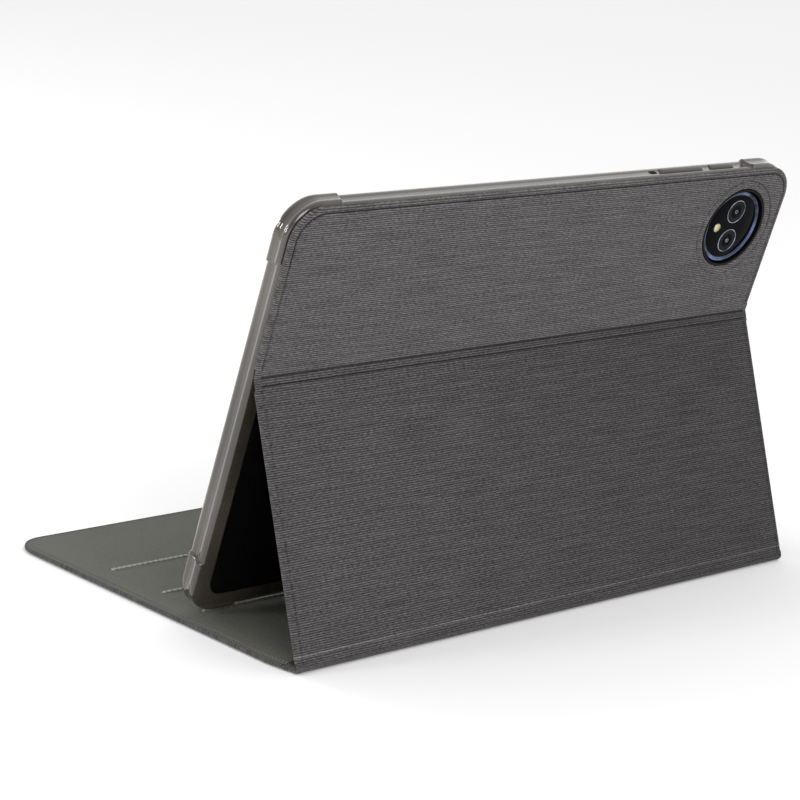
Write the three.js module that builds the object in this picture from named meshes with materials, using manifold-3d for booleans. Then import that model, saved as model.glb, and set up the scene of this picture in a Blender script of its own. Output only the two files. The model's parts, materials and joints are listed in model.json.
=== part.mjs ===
// Folio stand case for a tablet: a fabric-covered strip of boards glued to a clear soft tray that holds the
// tablet. Millimetres, +Z up. The case stands open: the front cover lies on the table, the leg rises from the
// foot fold, and the tray leans back against the fold at the leg's top. The screen faces -Y.
//
// The strip has one local frame per panel. Local X is world X, local Y runs up the strip (from the front
// cover's free edge towards the upper panel's top edge), and local Z is depth, counted inwards from the outer
// face of the fabric.

import * as THREE from 'three';
import { mergeVertices } from 'three/addons/utils/BufferGeometryUtils.js';
import Module from 'manifold-3d';

const wasm = await Module();
wasm.setup();

// ---- driving dimensions: what the tray holds ----
const TABLET_WIDTH = 265.9;
const TABLET_HEIGHT = 166;
const TABLET_DEPTH = 6.6;
const TABLET_GAP = 0.3; // between the tablet and the tray
const SCREEN_GLASS = 0.9;
const TABLET_BEZEL = 1.6;
const CAMERA_RING = 16.2; // radius
const CAMERA_TO_SIDE = 10.55; // camera ring to the tray's side
const CAMERA_TO_TOP = 9.4;
const CAMERA_GAP = 0.45; // camera ring to the collar
const COLLAR_WALL = 0.7;
const CAMERA_RING_WALL = 1.5;
const CAMERA_TOP_DEPTH = 1.3; // island's top below the fabric's face
const LENS_RADIUS = 4.4;
const LENS_OFFSET = 6.3; // camera's centre to a lens
const LENS_DEPTH = 0.6;
const FLASH_RADIUS = 1.9;

// ---- driving dimensions: the tray ----
const TRAY_WALL = 2;
const TRAY_LIP = 0.5; // stands in front of the screen
const TRAY_CORNER = 14;
const TRAY_FLANGE = 6.75;
const PLATE = 1; // back flange and clear plate
const EDGE_ROUND = 1.1;
const PAD_PROUD = 1.2;
const PAD_LENGTH = 24;
const TABLE_GAP = 0.3; // tray's lowest point to the lining

// ---- driving dimensions: keys and port ----
const KEYS_FROM_SIDE = 32.45; // tray's side to the power key
const POWER_LENGTH = 13.2;
const KEY_SPACING = 5.7;
const VOLUME_LENGTH = 24.6;
const KEY_WIDTH = 2.8;
const KEY_GAP = 0.3;
const BUTTON_PROUD = 0.6;
const KEY_PROUD = 0.5;
const KEY_BODY = 1.5;
const KEY_TRAVEL = 0.4;
const MIC_SPACING = 2.1; // volume key to the microphone's notch
const MIC_CUT = [4.4, 2.4];
const PORT_CUT = [14, 6.2]; // along the edge, across it
const PORT_SOCKET = [9, 3.2, 6]; // along, across and into the edge

// ---- driving dimensions: the strip ----
const UPPER_HEIGHT = 67.4; // valley fold to the top edge
const LEAN = THREE.MathUtils.degToRad(15.9); // tray from the vertical
const RECLINE = THREE.MathUtils.degToRad(17.2); // leg's lean down from its place here to the third groove
const STRIP_OVERHANG = 0.75; // leg and upper panel past the tray's side
const COVER_OVERHANG = 3; // front cover past the tray's side, to cover the corner pads
const TOP_OVERHANG = 0.6; // upper panel past the tray's top
const FREE_EDGE_SHORT = 1.6; // closed front cover short of the tray's top
const LEG_SPARE = 0.4; // leg's board past the tray's bottom when it lies flat on the tray
const COVER_CORNER = 13;
const UPPER_CORNER = 13.5;
const TAPER_LENGTH = 7; // where the cover narrows to the strip's width
const SPINE_PIVOT = 5; // foot fold to the cover's fold
const HINGE_BAND = 4; // valley fold to the leg's upper fold
const SOFT_COVER = 8.3; // foot fold to the cover's board
const SOFT_LEG = 4.2; // foot fold to the leg's board

// ---- driving dimensions: the laminate ----
const SKIN = 0.5;
const BOARD = 0.8;
const LINING = 0.5;
const GLUE = 0.3; // glue line between two layers
const RIM = 1.2; // skin turned in round a panel's edge
const BOARD_INSET = 2.8;
const FOLD_GAP = 0.3; // between the two panels that meet at a fold
const MAGNET_RADIUS = 5;
const MAGNET_FROM_SIDE = 38.7; // front cover's side to a closure magnet's centre
const SLEEP_MAGNET = [18, 6];
const SLEEP_FROM_SIDE = 83;
const GROOVE_DEPTH = 0.25;
const GROOVE_WIDTH = 5.6;
const GROOVE_INSET = 11.75; // cover's side to a groove's end
const SECOND_STEP = 25; // first groove to the second
const THIRD_STEP = 57.6; // first groove to the third

// ---- values that follow ----
const TRAY_WIDTH = TABLET_WIDTH + 2 * (TRAY_WALL + TABLET_GAP);
const TRAY_HEIGHT = TABLET_HEIGHT + 2 * (TRAY_WALL + TABLET_GAP);
const TRAY_DEPTH = PLATE + TABLET_GAP + TABLET_DEPTH + TRAY_LIP;
const TRAY_TOP = UPPER_HEIGHT - TOP_OVERHANG; // above the valley fold
const TRAY_BOTTOM = TRAY_TOP - TRAY_HEIGHT;
const TRAY_MID = TRAY_TOP - TRAY_HEIGHT / 2;
const STRIP_WIDTH = TRAY_WIDTH + 2 * STRIP_OVERHANG;
const COVER_WIDTH = TRAY_WIDTH + 2 * COVER_OVERHANG;
const COVER_LENGTH = SOFT_COVER + TRAY_HEIGHT - FREE_EDGE_SHORT; // foot fold to the free edge
const LEG_LENGTH = SOFT_LEG + LEG_SPARE - TRAY_BOTTOM; // foot fold to the valley fold
const LAMINATE = SKIN + GLUE + BOARD + GLUE + LINING;
const BOARD_DEPTH = SKIN + GLUE;
const LINING_DEPTH = BOARD_DEPTH + BOARD + GLUE;
const TRAY_BACK = LAMINATE + GLUE; // behind it, the upper panel has a bonding sheet in the lining's place
const TABLET_CORNER = TRAY_CORNER - TRAY_WALL - TABLET_GAP;
const TABLET_BACK = TRAY_BACK + PLATE + TABLET_GAP;
const TABLET_TOP = TRAY_TOP - TRAY_WALL - TABLET_GAP;
const KEY_DEPTH = TABLET_BACK + TABLET_DEPTH / 2; // keys sit halfway through the tablet
const CAMERA_X = CAMERA_TO_SIDE + CAMERA_RING - TRAY_WIDTH / 2;
const CAMERA_UP = TRAY_TOP - CAMERA_TO_TOP - CAMERA_RING;
const CAMERA_HOLE = CAMERA_RING + CAMERA_GAP + COLLAR_WALL + FOLD_GAP;
const POWER_X = KEYS_FROM_SIDE + POWER_LENGTH / 2 - TRAY_WIDTH / 2;
const VOLUME_X = POWER_X + POWER_LENGTH / 2 + KEY_SPACING + VOLUME_LENGTH / 2;
const MIC_X = VOLUME_X + VOLUME_LENGTH / 2 + MIC_SPACING + MIC_CUT[0] / 2;

// The tray's lower back edge, with its corner pads, is what stands on the lining.
const EDGE_UP = TRAY_BOTTOM - PAD_PROUD + EDGE_ROUND; // centre of that edge's rounding, along the tray
const EDGE_DEPTH = TRAY_BACK + EDGE_ROUND;
const VALLEY_Z =
  LAMINATE + TABLE_GAP + EDGE_ROUND - EDGE_UP * Math.cos(LEAN) - EDGE_DEPTH * Math.sin(LEAN);
const LEG_SLOPE = Math.asin(VALLEY_Z / LEG_LENGTH); // between the cover and the leg
const VALLEY_Y = -LEG_LENGTH * Math.cos(LEG_SLOPE);
const STAND_Y = VALLEY_Y + EDGE_UP * Math.sin(LEAN) - EDGE_DEPTH * Math.cos(LEAN);
const GROOVE_PLACES = [STAND_Y, STAND_Y - SECOND_STEP, STAND_Y - THIRD_STEP];
const GROOVE_LENGTH = COVER_WIDTH - 2 * GROOVE_INSET;

const FOOT_CUT = 1 / Math.tan((LEG_SLOPE - RECLINE) / 2); // layers stop this far short of the foot, per depth
const SKIN_START = SKIN * FOOT_CUT + FOLD_GAP / 2; // foot fold to the skin's end on each side
const FOOT_EDGE = SKIN_START * Math.cos(LEG_SLOPE); // foot fold to the footprint's back edge
const ORIGIN_Y = (COVER_LENGTH + FOOT_EDGE) / 2; // the origin is at the footprint's centre
const EPS = 1; // a cutter runs this far past the face that it opens

// ---- finishes ----
const finish = (color, roughness, metalness = 0) =>
  new THREE.MeshStandardMaterial({ color, roughness, metalness });
const FABRIC = finish(0x5f5b5d, 0.9);
const BOARD_GREY = finish(0x8a8580, 0.85);
const LINING_GREEN = finish(0x62635c, 0.9);
const SOFT_TRAY = finish(0x6f6a62, 0.35);
const CLEAR_PLATE = finish(0x1c1c1e, 0.2);
const BOND = finish(0xcfcac0, 0.7);
const BLACK = finish(0x0c0c0e, 0.4);
const MAGNET = finish(0x9a9a9c, 0.4, 1);
const KEY_RUBBER = finish(0x77726b, 0.45);
const TABLET_METAL = finish(0x2b2c30, 0.4, 0.8);
const RING_METAL = finish(0x3d4f74, 0.25, 1);
const GLASS = finish(0x08090b, 0.08);
const LENS = finish(0x1a2334, 0.08, 0.3);
const FLASH = finish(0xe6dca8, 0.4);

// ---- solids ----

// A closed geometry as a manifold solid.
function solid(geometry) {
  const bare = geometry.clone();
  bare.deleteAttribute('normal');
  bare.deleteAttribute('uv');
  const merged = mergeVertices(bare, 1e-5);
  const vertProperties = new Float32Array(merged.attributes.position.array);
  const triVerts = new Uint32Array(merged.index.array);
  return new wasm.Manifold(new wasm.Mesh({ numProp: 3, vertProperties, triVerts }));
}

// A manifold solid as a geometry.
function geometryOf(manifold) {
  const { vertProperties, triVerts } = manifold.getMesh();
  const geometry = new THREE.BufferGeometry();
  geometry.setAttribute('position', new THREE.BufferAttribute(vertProperties, 3));
  geometry.setIndex(new THREE.BufferAttribute(triVerts, 1));
  geometry.computeVertexNormals();
  return geometry;
}

// Rectangle from y = low to y = high, with one corner radius at each end; a radius of 0 leaves it square.
function outline(halfWidth, low, high, lowRadius, highRadius = lowRadius) {
  const shape = new THREE.Shape();
  shape.moveTo(-halfWidth + lowRadius, low);
  shape.lineTo(halfWidth - lowRadius, low);
  if (lowRadius > 0) {
    shape.absarc(halfWidth - lowRadius, low + lowRadius, lowRadius, -Math.PI / 2, 0);
  }
  shape.lineTo(halfWidth, high - highRadius);
  if (highRadius > 0) {
    shape.absarc(halfWidth - highRadius, high - highRadius, highRadius, 0, Math.PI / 2);
  }
  shape.lineTo(-halfWidth + highRadius, high);
  if (highRadius > 0) {
    shape.absarc(-halfWidth + highRadius, high - highRadius, highRadius, Math.PI / 2, Math.PI);
  }
  shape.lineTo(-halfWidth, low + lowRadius);
  if (lowRadius > 0) {
    shape.absarc(-halfWidth + lowRadius, low + lowRadius, lowRadius, Math.PI, 1.5 * Math.PI);
  }
  return shape;
}

// Front cover's outline, pulled in by inset: round at its free edge, narrowing to the strip at the fold.
function coverOutline(inset, high) {
  const half = COVER_WIDTH / 2 - inset;
  const end = STRIP_WIDTH / 2 - inset;
  const low = -COVER_LENGTH + inset;
  const radius = COVER_CORNER - inset;
  const taperStart = -SPINE_PIVOT - TAPER_LENGTH;
  const atHigh = Math.min(Math.max((high - taperStart) / TAPER_LENGTH, 0), 1);
  const highHalf = half + (end - half) * atHigh;
  const shape = new THREE.Shape();
  shape.moveTo(-half + radius, low);
  shape.lineTo(half - radius, low);
  shape.absarc(half - radius, low + radius, radius, -Math.PI / 2, 0);
  shape.lineTo(half, Math.min(taperStart, high));
  if (atHigh > 0) {
    shape.lineTo(highHalf, high);
    shape.lineTo(-highHalf, high);
  }
  shape.lineTo(-half, Math.min(taperStart, high));
  shape.absarc(-half + radius, low + radius, radius, Math.PI, 1.5 * Math.PI);
  return shape;
}

// A flat layer: shape extruded from depth z by thickness.
function layer(shape, z, thickness, curveSegments = 8) {
  const geometry = new THREE.ExtrudeGeometry(shape, { depth: thickness, bevelEnabled: false, curveSegments });
  geometry.translate(0, 0, z);
  return geometry;
}

// A layer with its two long edges rounded over.
function roundedLayer(shape, z, thickness, round) {
  const geometry = new THREE.ExtrudeGeometry(shape, {
    depth: thickness - 2 * round,
    bevelEnabled: true,
    bevelSize: round,
    bevelOffset: -round,
    bevelThickness: round,
    bevelSegments: 3,
    curveSegments: 8,
  });
  geometry.translate(0, 0, z + round);
  return geometry;
}

// A box from its centre and sizes.
function block(width, height, depth, x, y, z) {
  const geometry = new THREE.BoxGeometry(width, height, depth);
  geometry.translate(x, y, z);
  return geometry;
}

// A round disc or hole along the depth, from depth z.
function disc(radius, x, y, z, thickness, segments = 48) {
  const geometry = new THREE.CylinderGeometry(radius, radius, thickness, segments);
  geometry.rotateX(Math.PI / 2);
  geometry.translate(x, y, z + thickness / 2);
  return geometry;
}

// A ring along the depth.
function ring(outer, inner, x, y, z, thickness) {
  const whole = solid(disc(outer, x, y, z, thickness));
  return whole.subtract(solid(disc(inner, x, y, z - EPS, thickness + 2 * EPS)));
}

// ---- scene graph ----

const group = new THREE.Group();
group.position.y = ORIGIN_Y;

// A panel's own frame: its origin on the strip's outer face, turned about X.
function panelFrame(y, z, turn) {
  const frame = new THREE.Group();
  frame.position.set(0, y, z);
  frame.rotation.x = turn;
  group.add(frame);
  return frame;
}

const coverFrame = panelFrame(0, 0, 0);
const legFrame = panelFrame(0, 0, Math.PI - LEG_SLOPE);
const trayFrame = panelFrame(VALLEY_Y, VALLEY_Z, Math.PI / 2 - LEAN);

function put(frame, name, body, material) {
  const geometry = body instanceof THREE.BufferGeometry ? body : geometryOf(body);
  const mesh = new THREE.Mesh(geometry, material.clone());
  mesh.name = name;
  frame.add(mesh);
  return mesh;
}

// ---- front cover ----

function buildFrontCover() {
  const fold = -SPINE_PIVOT - FOLD_GAP / 2;
  const boardEnd = -SOFT_COVER;
  const magnetLine = -COVER_LENGTH + BOARD_INSET + 2 * MAGNET_RADIUS;
  const magnetX = COVER_WIDTH / 2 - MAGNET_FROM_SIDE;
  const sleepX = SLEEP_FROM_SIDE - COVER_WIDTH / 2;

  const wrapped = coverOutline(0, fold);
  const rim = solid(layer(wrapped, 0, LAMINATE)).subtract(
    solid(layer(coverOutline(RIM, fold + EPS), SKIN, LAMINATE)),
  );
  put(coverFrame, 'cover_skin', rim, FABRIC);

  let board = solid(layer(coverOutline(BOARD_INSET, boardEnd), BOARD_DEPTH, BOARD));
  for (const side of [-1, 1]) {
    const x = side * magnetX;
    const seat = disc(MAGNET_RADIUS + FOLD_GAP, x, magnetLine, BOARD_DEPTH - EPS, BOARD + 2 * EPS, 24);
    board = board.subtract(solid(seat));
    const name = side < 0 ? 'closure_magnet_right' : 'closure_magnet_left';
    put(coverFrame, name, disc(MAGNET_RADIUS, x, magnetLine, BOARD_DEPTH, BOARD, 24), MAGNET);
  }
  const [sleepLength, sleepWidth] = SLEEP_MAGNET;
  const depth = BOARD_DEPTH + BOARD / 2;
  const sleepSeat = [sleepLength + 2 * FOLD_GAP, sleepWidth + 2 * FOLD_GAP, BOARD + 2 * EPS];
  board = board.subtract(solid(block(...sleepSeat, sleepX, magnetLine, depth)));
  put(coverFrame, 'sleep_magnet', block(sleepLength, sleepWidth, BOARD, sleepX, magnetLine, depth), MAGNET);
  put(coverFrame, 'cover_board', board, BOARD_GREY);

  let lining = solid(layer(coverOutline(RIM + FOLD_GAP, fold), LINING_DEPTH, LINING));
  for (const place of GROOVE_PLACES) {
    const groove = block(GROOVE_LENGTH, GROOVE_WIDTH, 2 * GROOVE_DEPTH, 0, place, LAMINATE);
    lining = lining.subtract(solid(groove));
  }
  put(coverFrame, 'cover_lining', lining, LINING_GREEN);
}

// ---- spine: the soft strip that bends at the foot ----

function buildSpine() {
  const start = -SPINE_PIVOT + FOLD_GAP / 2;
  const half = STRIP_WIDTH / 2;
  const liningEnd = -(BOARD_DEPTH + LINING) * FOOT_CUT - FOLD_GAP / 2;
  put(coverFrame, 'spine_skin', layer(outline(half, start, -SKIN_START, 0), 0, SKIN), FABRIC);
  const inner = outline(half - RIM, start, liningEnd, 0);
  put(coverFrame, 'spine_lining', layer(inner, BOARD_DEPTH, LINING), LINING_GREEN);
}

// ---- leg ----

function buildLeg() {
  const half = STRIP_WIDTH / 2;
  const top = LEG_LENGTH - HINGE_BAND - FOLD_GAP / 2;
  const rimStart = LAMINATE * FOOT_CUT + FOLD_GAP;
  const skin = solid(layer(outline(half, SKIN_START, top, 0), 0, SKIN));
  const turnedIn = [];
  for (const side of [-1, 1]) {
    const x = side * (half - RIM / 2);
    const length = top - rimStart;
    turnedIn.push(solid(block(RIM, length, LAMINATE, x, rimStart + length / 2, LAMINATE / 2)));
  }
  put(legFrame, 'leg_skin', skin.add(turnedIn[0]).add(turnedIn[1]), FABRIC);

  const boardShape = outline(half - BOARD_INSET, SOFT_LEG, top - FOLD_GAP, 1);
  put(legFrame, 'leg_board', layer(boardShape, BOARD_DEPTH, BOARD, 3), BOARD_GREY);

  const liningShape = outline(half - RIM - FOLD_GAP, rimStart, top, 0);
  put(legFrame, 'leg_lining', layer(liningShape, LINING_DEPTH, LINING), LINING_GREEN);
}

// ---- hinge band: the bare strip of skin and lining between the leg and the upper panel ----

function buildHingeBand() {
  const half = STRIP_WIDTH / 2;
  const low = LEG_LENGTH - HINGE_BAND + FOLD_GAP / 2;
  const high = LEG_LENGTH - FOLD_GAP / 2;
  put(legFrame, 'hinge_skin', layer(outline(half, low, high, 0), 0, SKIN), FABRIC);
  const inner = outline(half - RIM, low, high, 0);
  put(legFrame, 'hinge_lining', layer(inner, BOARD_DEPTH, LINING), LINING_GREEN);
}

// ---- upper panel, glued to the tray ----

function cameraHole(radius) {
  return solid(disc(radius, CAMERA_X, CAMERA_UP, -EPS, TRAY_BACK + PLATE + 2 * EPS));
}

function buildUpperPanel() {
  const half = STRIP_WIDTH / 2;
  const low = FOLD_GAP / 2;
  const wrap = BOARD_DEPTH + BOARD;
  const whole = solid(layer(outline(half, low, UPPER_HEIGHT, 0, UPPER_CORNER), 0, wrap));
  const insideTop = UPPER_HEIGHT - RIM;
  const inside = outline(half - RIM, low - EPS, insideTop, 0, UPPER_CORNER - RIM);
  const skin = whole.subtract(solid(layer(inside, SKIN, wrap)));
  put(trayFrame, 'upper_skin', skin.subtract(cameraHole(CAMERA_HOLE)), FABRIC);

  const inset = BOARD_INSET;
  const boardShape = outline(half - inset, inset, UPPER_HEIGHT - inset, 1, UPPER_CORNER - inset);
  const board = solid(layer(boardShape, BOARD_DEPTH, BOARD));
  const seat = cameraHole(CAMERA_HOLE + RIM);
  put(trayFrame, 'upper_board', board.subtract(seat), BOARD_GREY);

  const sheetInset = 2 * BOARD_INSET;
  const corner = UPPER_CORNER - sheetInset;
  const sheetShape = outline(half - sheetInset, sheetInset, UPPER_HEIGHT - sheetInset, 1, corner);
  const sheet = solid(layer(sheetShape, LINING_DEPTH, LINING));
  put(trayFrame, 'bonding_sheet', sheet.subtract(seat), BOND);

  const outer = CAMERA_HOLE - FOLD_GAP;
  const height = TRAY_BACK - GLUE - FOLD_GAP;
  const collar = ring(outer, outer - COLLAR_WALL, CAMERA_X, CAMERA_UP, FOLD_GAP, height);
  put(trayFrame, 'camera_collar', collar, BLACK);
}

// ---- tray ----

// Rounded rectangle about the tray's centre, grown by grow from the tray's own outline.
function trayOutline(grow, radius = TRAY_CORNER + grow) {
  const low = TRAY_BOTTOM - grow;
  const high = TRAY_TOP + grow;
  return outline(TRAY_WIDTH / 2 + grow, low, high, radius);
}

// Corner pads: the parts of a slightly larger tray within PAD_LENGTH of each corner.
function cornerPads() {
  const larger = solid(roundedLayer(trayOutline(PAD_PROUD), TRAY_BACK, TRAY_DEPTH, EDGE_ROUND));
  const reachX = TRAY_WIDTH / 2 - PAD_LENGTH;
  const reachY = TRAY_HEIGHT / 2 - PAD_LENGTH;
  const wide = TRAY_WIDTH + 4 * PAD_LENGTH;
  const middle = TRAY_BACK + TRAY_DEPTH / 2;
  const depth = TRAY_DEPTH + 2 * EPS;
  const upright = solid(block(2 * reachX, wide, depth, 0, TRAY_MID, middle));
  const level = solid(block(wide, 2 * reachY, depth, 0, TRAY_MID, middle));
  return larger.subtract(upright).subtract(level);
}

// A cutter through the top wall for a key of the given length, or its cover.
function topWallCutter(x, length, width) {
  const height = TRAY_WALL + 2 * EPS;
  return solid(block(length, height, width, x, TRAY_TOP - TRAY_WALL / 2, KEY_DEPTH));
}

function buildTray() {
  const body = solid(roundedLayer(trayOutline(0), TRAY_BACK, TRAY_DEPTH, EDGE_ROUND));
  const pocket = solid(layer(trayOutline(-TRAY_WALL), TRAY_BACK + PLATE, TRAY_DEPTH + EPS));
  const windowRadius = TRAY_CORNER - TRAY_FLANGE;
  const backWindow = solid(layer(trayOutline(-TRAY_FLANGE, windowRadius), TRAY_BACK - EPS, PLATE + 2 * EPS));
  const [portLength, portWidth] = PORT_CUT;
  const portMiddle = -TRAY_WIDTH / 2 + TRAY_WALL / 2;
  const port = solid(block(TRAY_WALL + 2 * EPS, portLength, portWidth, portMiddle, TRAY_MID, KEY_DEPTH));
  const [micLength, micWidth] = MIC_CUT;
  const cutters = [
    pocket,
    backWindow,
    port,
    topWallCutter(VOLUME_X, VOLUME_LENGTH + 2 * KEY_GAP, KEY_WIDTH + 2 * KEY_GAP),
    topWallCutter(POWER_X, POWER_LENGTH + 2 * KEY_GAP, KEY_WIDTH + 2 * KEY_GAP),
    topWallCutter(MIC_X, micLength, micWidth),
  ];
  const frame = cutters.reduce((left, cutter) => left.subtract(cutter), body.add(cornerPads()));
  put(trayFrame, 'tray_frame', frame, SOFT_TRAY);

  const plateInset = TRAY_FLANGE + FOLD_GAP;
  const plateShape = trayOutline(-plateInset, windowRadius - FOLD_GAP);
  const plate = solid(layer(plateShape, TRAY_BACK, PLATE)).subtract(cameraHole(CAMERA_HOLE));
  put(trayFrame, 'back_plate', plate, CLEAR_PLATE);
}

// ---- key covers in the tray and keys in the tablet ----

function buildKeys() {
  const coverLow = TABLET_TOP + KEY_PROUD + KEY_GAP;
  const coverHeight = TRAY_TOP + BUTTON_PROUD - coverLow;
  const keyTop = TABLET_TOP + KEY_PROUD;
  const rows = [
    ['volume', VOLUME_X, VOLUME_LENGTH],
    ['power', POWER_X, POWER_LENGTH],
  ];
  for (const [name, x, length] of rows) {
    const coverMiddle = coverLow + coverHeight / 2;
    const cover = block(length, coverHeight, KEY_WIDTH, x, coverMiddle, KEY_DEPTH);
    put(trayFrame, `${name}_key_cover`, cover, KEY_RUBBER);
    const keyLength = length - 2 * KEY_GAP;
    const keyWidth = KEY_WIDTH - 2 * KEY_GAP;
    const keyMiddle = keyTop - KEY_BODY / 2;
    const key = block(keyLength, KEY_BODY, keyWidth, x, keyMiddle, KEY_DEPTH);
    put(trayFrame, `tablet_${name}_key`, key, TABLET_METAL);
  }
}

// ---- tablet ----

function tabletOutline(inset) {
  const half = TABLET_WIDTH / 2 - inset;
  const low = TABLET_TOP - TABLET_HEIGHT + inset;
  return outline(half, low, TABLET_TOP - inset, TABLET_CORNER - inset);
}

function keyPocket(x, length) {
  const depth = KEY_BODY - KEY_PROUD + KEY_TRAVEL + KEY_GAP;
  const height = depth + EPS;
  return solid(block(length, height, KEY_WIDTH, x, TABLET_TOP - depth + height / 2, KEY_DEPTH));
}

function buildTablet() {
  const front = TABLET_BACK + TABLET_DEPTH;
  const glassSeat = SCREEN_GLASS + TABLET_GAP;
  const [socketLength, socketWidth, socketDepth] = PORT_SOCKET;
  const socketX = -TABLET_WIDTH / 2 + (socketDepth - EPS) / 2;
  const cutters = [
    solid(layer(tabletOutline(TABLET_BEZEL), front - glassSeat, glassSeat + EPS)),
    keyPocket(VOLUME_X, VOLUME_LENGTH),
    keyPocket(POWER_X, POWER_LENGTH),
    solid(block(socketDepth + EPS, socketLength, socketWidth, socketX, TRAY_MID, KEY_DEPTH)),
  ];
  const slab = solid(roundedLayer(tabletOutline(0), TABLET_BACK, TABLET_DEPTH, EDGE_ROUND));
  const housing = cutters.reduce((left, cutter) => left.subtract(cutter), slab);
  put(trayFrame, 'tablet_housing', housing, TABLET_METAL);
  const glass = layer(tabletOutline(TABLET_BEZEL + TABLET_GAP), front - SCREEN_GLASS, SCREEN_GLASS);
  put(trayFrame, 'tablet_screen_glass', glass, GLASS);
}

function buildCamera() {
  const height = TABLET_BACK - GLUE - CAMERA_TOP_DEPTH;
  const inner = CAMERA_RING - CAMERA_RING_WALL;
  const rim = ring(CAMERA_RING, inner, CAMERA_X, CAMERA_UP, CAMERA_TOP_DEPTH, height);
  put(trayFrame, 'camera_ring', rim, RING_METAL);

  const glassTop = CAMERA_TOP_DEPTH + GLUE;
  let glass = solid(disc(inner - FOLD_GAP, CAMERA_X, CAMERA_UP, glassTop, TABLET_BACK - GLUE - glassTop));
  const lenses = [
    ['camera_lens_upper', LENS_RADIUS, 0.1, LENS_OFFSET, LENS],
    ['camera_lens_lower', LENS_RADIUS, -0.1, -LENS_OFFSET, LENS],
    ['flash_lens', FLASH_RADIUS, LENS_OFFSET + FLASH_RADIUS, 0, FLASH],
  ];
  for (const [name, radius, dx, dy, material] of lenses) {
    const x = CAMERA_X + dx;
    const y = CAMERA_UP + dy;
    const seat = disc(radius + FOLD_GAP, x, y, glassTop - EPS, LENS_DEPTH + FOLD_GAP + EPS, 32);
    glass = glass.subtract(solid(seat));
    put(trayFrame, name, disc(radius, x, y, glassTop, LENS_DEPTH, 32), material);
  }
  put(trayFrame, 'camera_glass', glass, GLASS);
}

buildFrontCover();
buildSpine();
buildLeg();
buildHingeBand();
buildUpperPanel();
buildTray();
buildKeys();
buildTablet();
buildCamera();

export default group;
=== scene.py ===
"""Looks for a folio stand case that holds a tablet: fabric skins, lining, soft tray, camera and studio.

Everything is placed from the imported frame, in metres. The folded strip has one set of coordinates: x across,
s up the strip from the foot fold (negative on the front cover) and depth inwards from the fabric's face.
"""

import json
import logging
import math
import random
from dataclasses import dataclass, field
from enum import Enum
from typing import Callable, Iterable, Sequence

import bmesh
import bpy
from mathutils import Matrix, Vector
from mathutils.geometry import tessellate_polygon


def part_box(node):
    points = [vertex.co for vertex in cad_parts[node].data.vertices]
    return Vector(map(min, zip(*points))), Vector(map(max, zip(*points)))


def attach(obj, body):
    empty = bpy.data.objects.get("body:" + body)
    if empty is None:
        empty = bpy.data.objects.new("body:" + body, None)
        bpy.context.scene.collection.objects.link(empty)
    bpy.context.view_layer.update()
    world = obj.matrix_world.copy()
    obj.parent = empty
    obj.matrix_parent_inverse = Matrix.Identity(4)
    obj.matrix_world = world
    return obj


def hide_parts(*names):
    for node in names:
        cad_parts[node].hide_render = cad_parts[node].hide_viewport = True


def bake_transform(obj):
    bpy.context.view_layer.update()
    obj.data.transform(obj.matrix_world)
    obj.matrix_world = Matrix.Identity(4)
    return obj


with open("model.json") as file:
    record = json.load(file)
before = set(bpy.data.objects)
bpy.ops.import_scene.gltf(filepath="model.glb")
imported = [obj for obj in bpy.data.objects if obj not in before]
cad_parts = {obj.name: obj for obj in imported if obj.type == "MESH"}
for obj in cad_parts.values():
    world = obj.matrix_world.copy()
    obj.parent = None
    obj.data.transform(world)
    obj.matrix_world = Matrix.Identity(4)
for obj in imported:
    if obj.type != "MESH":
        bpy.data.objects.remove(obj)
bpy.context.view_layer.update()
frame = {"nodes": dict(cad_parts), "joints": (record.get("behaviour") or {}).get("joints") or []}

LOG = logging.getLogger("folio_case")
MM = 0.001
SEED = 11

Point = tuple[float, float]
Loop = list[Point]


class Body(str, Enum):
    """The rigid bodies that pieces ride on."""

    COVER = "front_cover"
    LEG = "leg"
    TRAY = "tray"
    VOLUME_COVER = "volume_cover"
    POWER_COVER = "power_cover"
    VOLUME_KEY = "volume_key"
    POWER_KEY = "power_key"
    TABLET = "tablet"


class Slot(str, Enum):
    """The record's material slots, passed along with each new piece."""

    FABRIC = "fabric"
    LINING = "lining"
    TRAY = "soft_tray"
    PLATE = "clear_plate"
    KEY_COVER = "key_cover"
    METAL = "tablet_metal"
    SCREEN = "screen_glass"
    RING = "ring_metal"
    CAMERA_GLASS = "camera_glass"
    LENS = "lens"
    FLASH = "flash"
    BLACK = "black_plastic"


# ---- frame ----


def joint_place(name: str) -> Vector:
    """A hinge's place at rest.

    Args:
        name: the joint's name.

    Returns:
        The joint's point in the row frame.
    """
    joint = next(j for j in frame["joints"] if j["name"] == name)
    return Vector(joint["pos_m"])


def joint_axis(name: str) -> Vector:
    """A joint's unit axis.

    Args:
        name: the joint's name.

    Returns:
        The axis in the row frame.
    """
    joint = next(j for j in frame["joints"] if j["name"] == name)
    return Vector(joint["axis"]).normalized()


@dataclass(frozen=True)
class PanelFrame:
    """A flat panel's own axes: x across, up the strip, and inwards from the fabric's outer face."""

    origin: Vector
    up: Vector
    inward: Vector

    def at(self, x: float, y: float, depth: float) -> Vector:
        """A point of the panel in the row frame.

        Args:
            x: across the case.
            y: up the strip from the panel's origin.
            depth: inwards from the outer face.

        Returns:
            The point.
        """
        return self.origin + Vector((x, 0.0, 0.0)) + self.up * y + self.inward * depth


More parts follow.
